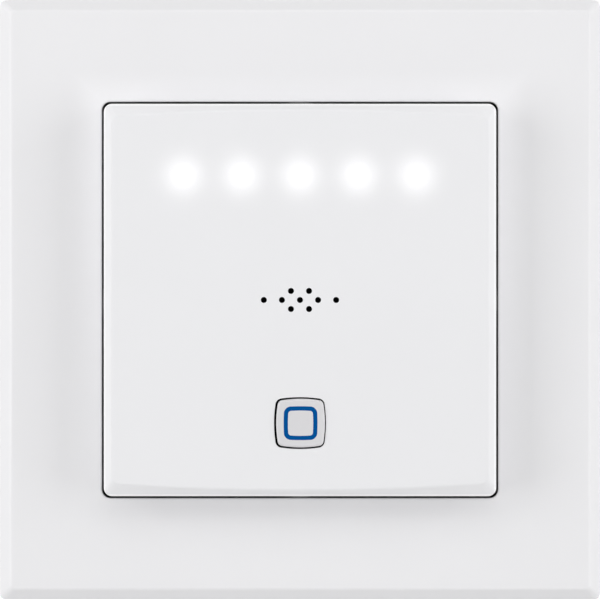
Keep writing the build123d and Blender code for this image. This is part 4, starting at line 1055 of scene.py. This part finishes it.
def around(angle_deg, lift_deg, reach=LAMP_REACH):
    """A place at that reach from the unit: turned from straight ahead to the right, and lifted."""
    a, e = math.radians(angle_deg), math.radians(lift_deg)
    return (reach * math.sin(a) * math.cos(e), -reach * math.cos(a) * math.cos(e), reach * math.sin(e))


def soft_lamp(name, place, width, height, power):
    """A rectangular soft lamp that faces the unit."""
    data = bpy.data.lights.new(name, "AREA")
    data.shape = "RECTANGLE"
    data.size, data.size_y = width, height
    data.energy = power
    lamp = bpy.data.objects.new(name, data)
    lamp.location = place
    lamp.rotation_euler = (-Vector(place)).to_track_quat("-Z", "Y").to_euler()
    bpy.context.scene.collection.objects.link(lamp)


SIDE_LAMP = (0.4, 1.2)
SIDE_LIFT = 3
SIDE_LAMPS = (("left", -58, 4.4), ("far_left", -71, 2.8), ("right", 62, 4.3), ("far_right", 76, 2.6))
NEAR_REACH = 0.6
for side, angle, power in SIDE_LAMPS:
    soft_lamp("lamp_" + side, around(angle, SIDE_LIFT), *SIDE_LAMP, power)
soft_lamp("lamp_above", around(0, 45, NEAR_REACH), width=0.8, height=0.36, power=0.9)
soft_lamp("lamp_behind", around(172, 30), width=0.8, height=0.8, power=5.5)

# %% World
FILL = 0.456
BACKDROP = 1.0


def seen_ray(tree):
    """1 for a ray from the camera, straight or by way of metal or glass, and 0 for scattered light."""
    rays = tree.nodes.new("ShaderNodeLightPath").outputs
    seen = rays["Is Camera Ray"]
    for kind in ("Is Glossy Ray", "Is Transmission Ray"):
        either = tree.nodes.new("ShaderNodeMath")
        either.operation = "MAXIMUM"
        tree.links.new(seen, either.inputs[0])
        tree.links.new(rays[kind], either.inputs[1])
        seen = either.outputs[0]
    return seen


world = bpy.data.worlds.new("studio")
bpy.context.scene.world = world
world.use_nodes = True
sky = world.node_tree
background = sky.nodes["Background"]
background.inputs["Color"].default_value = (1, 1, 1, 1)
level = sky.nodes.new("ShaderNodeMapRange")
sky.links.new(seen_ray(sky), level.inputs["Value"])
level.inputs["To Min"].default_value = FILL
level.inputs["To Max"].default_value = BACKDROP
sky.links.new(level.outputs["Result"], background.inputs["Strength"])

# %% Floor
FLOOR_DROP = 0.8
FLOOR_HALF = 25.0
FLOOR_SHOWN = 0.91
FLOOR_PALE, FLOOR_SEEN = (0.8, 0.8, 0.8), (0.16, 0.16, 0.16)

floor_mesh = bpy.data.meshes.new("floor")
floor_mesh.from_pydata([(x * FLOOR_HALF, y * FLOOR_HALF, -FLOOR_DROP) for x, y in SQUARE], [], [(0, 1, 2, 3)])
floor_paint = Finish("floor_paint", FLOOR_PALE, 0.9)
seen = seen_ray(floor_paint.tree)
floor_paint.cover_up("Base Color", seen, FLOOR_SEEN)
floor_paint.shader.inputs["Emission Color"].default_value = (1, 1, 1, 1)
shown = floor_paint.maths("MULTIPLY", seen, FLOOR_SHOWN)
floor_paint.feed(floor_paint.shader.inputs["Emission Strength"], shown)
floor_mesh.materials.append(floor_paint.material)
floor = bpy.data.objects.new("floor", floor_mesh)
bpy.context.scene.collection.objects.link(floor)
bpy.context.scene.view_settings.view_transform = "Standard"
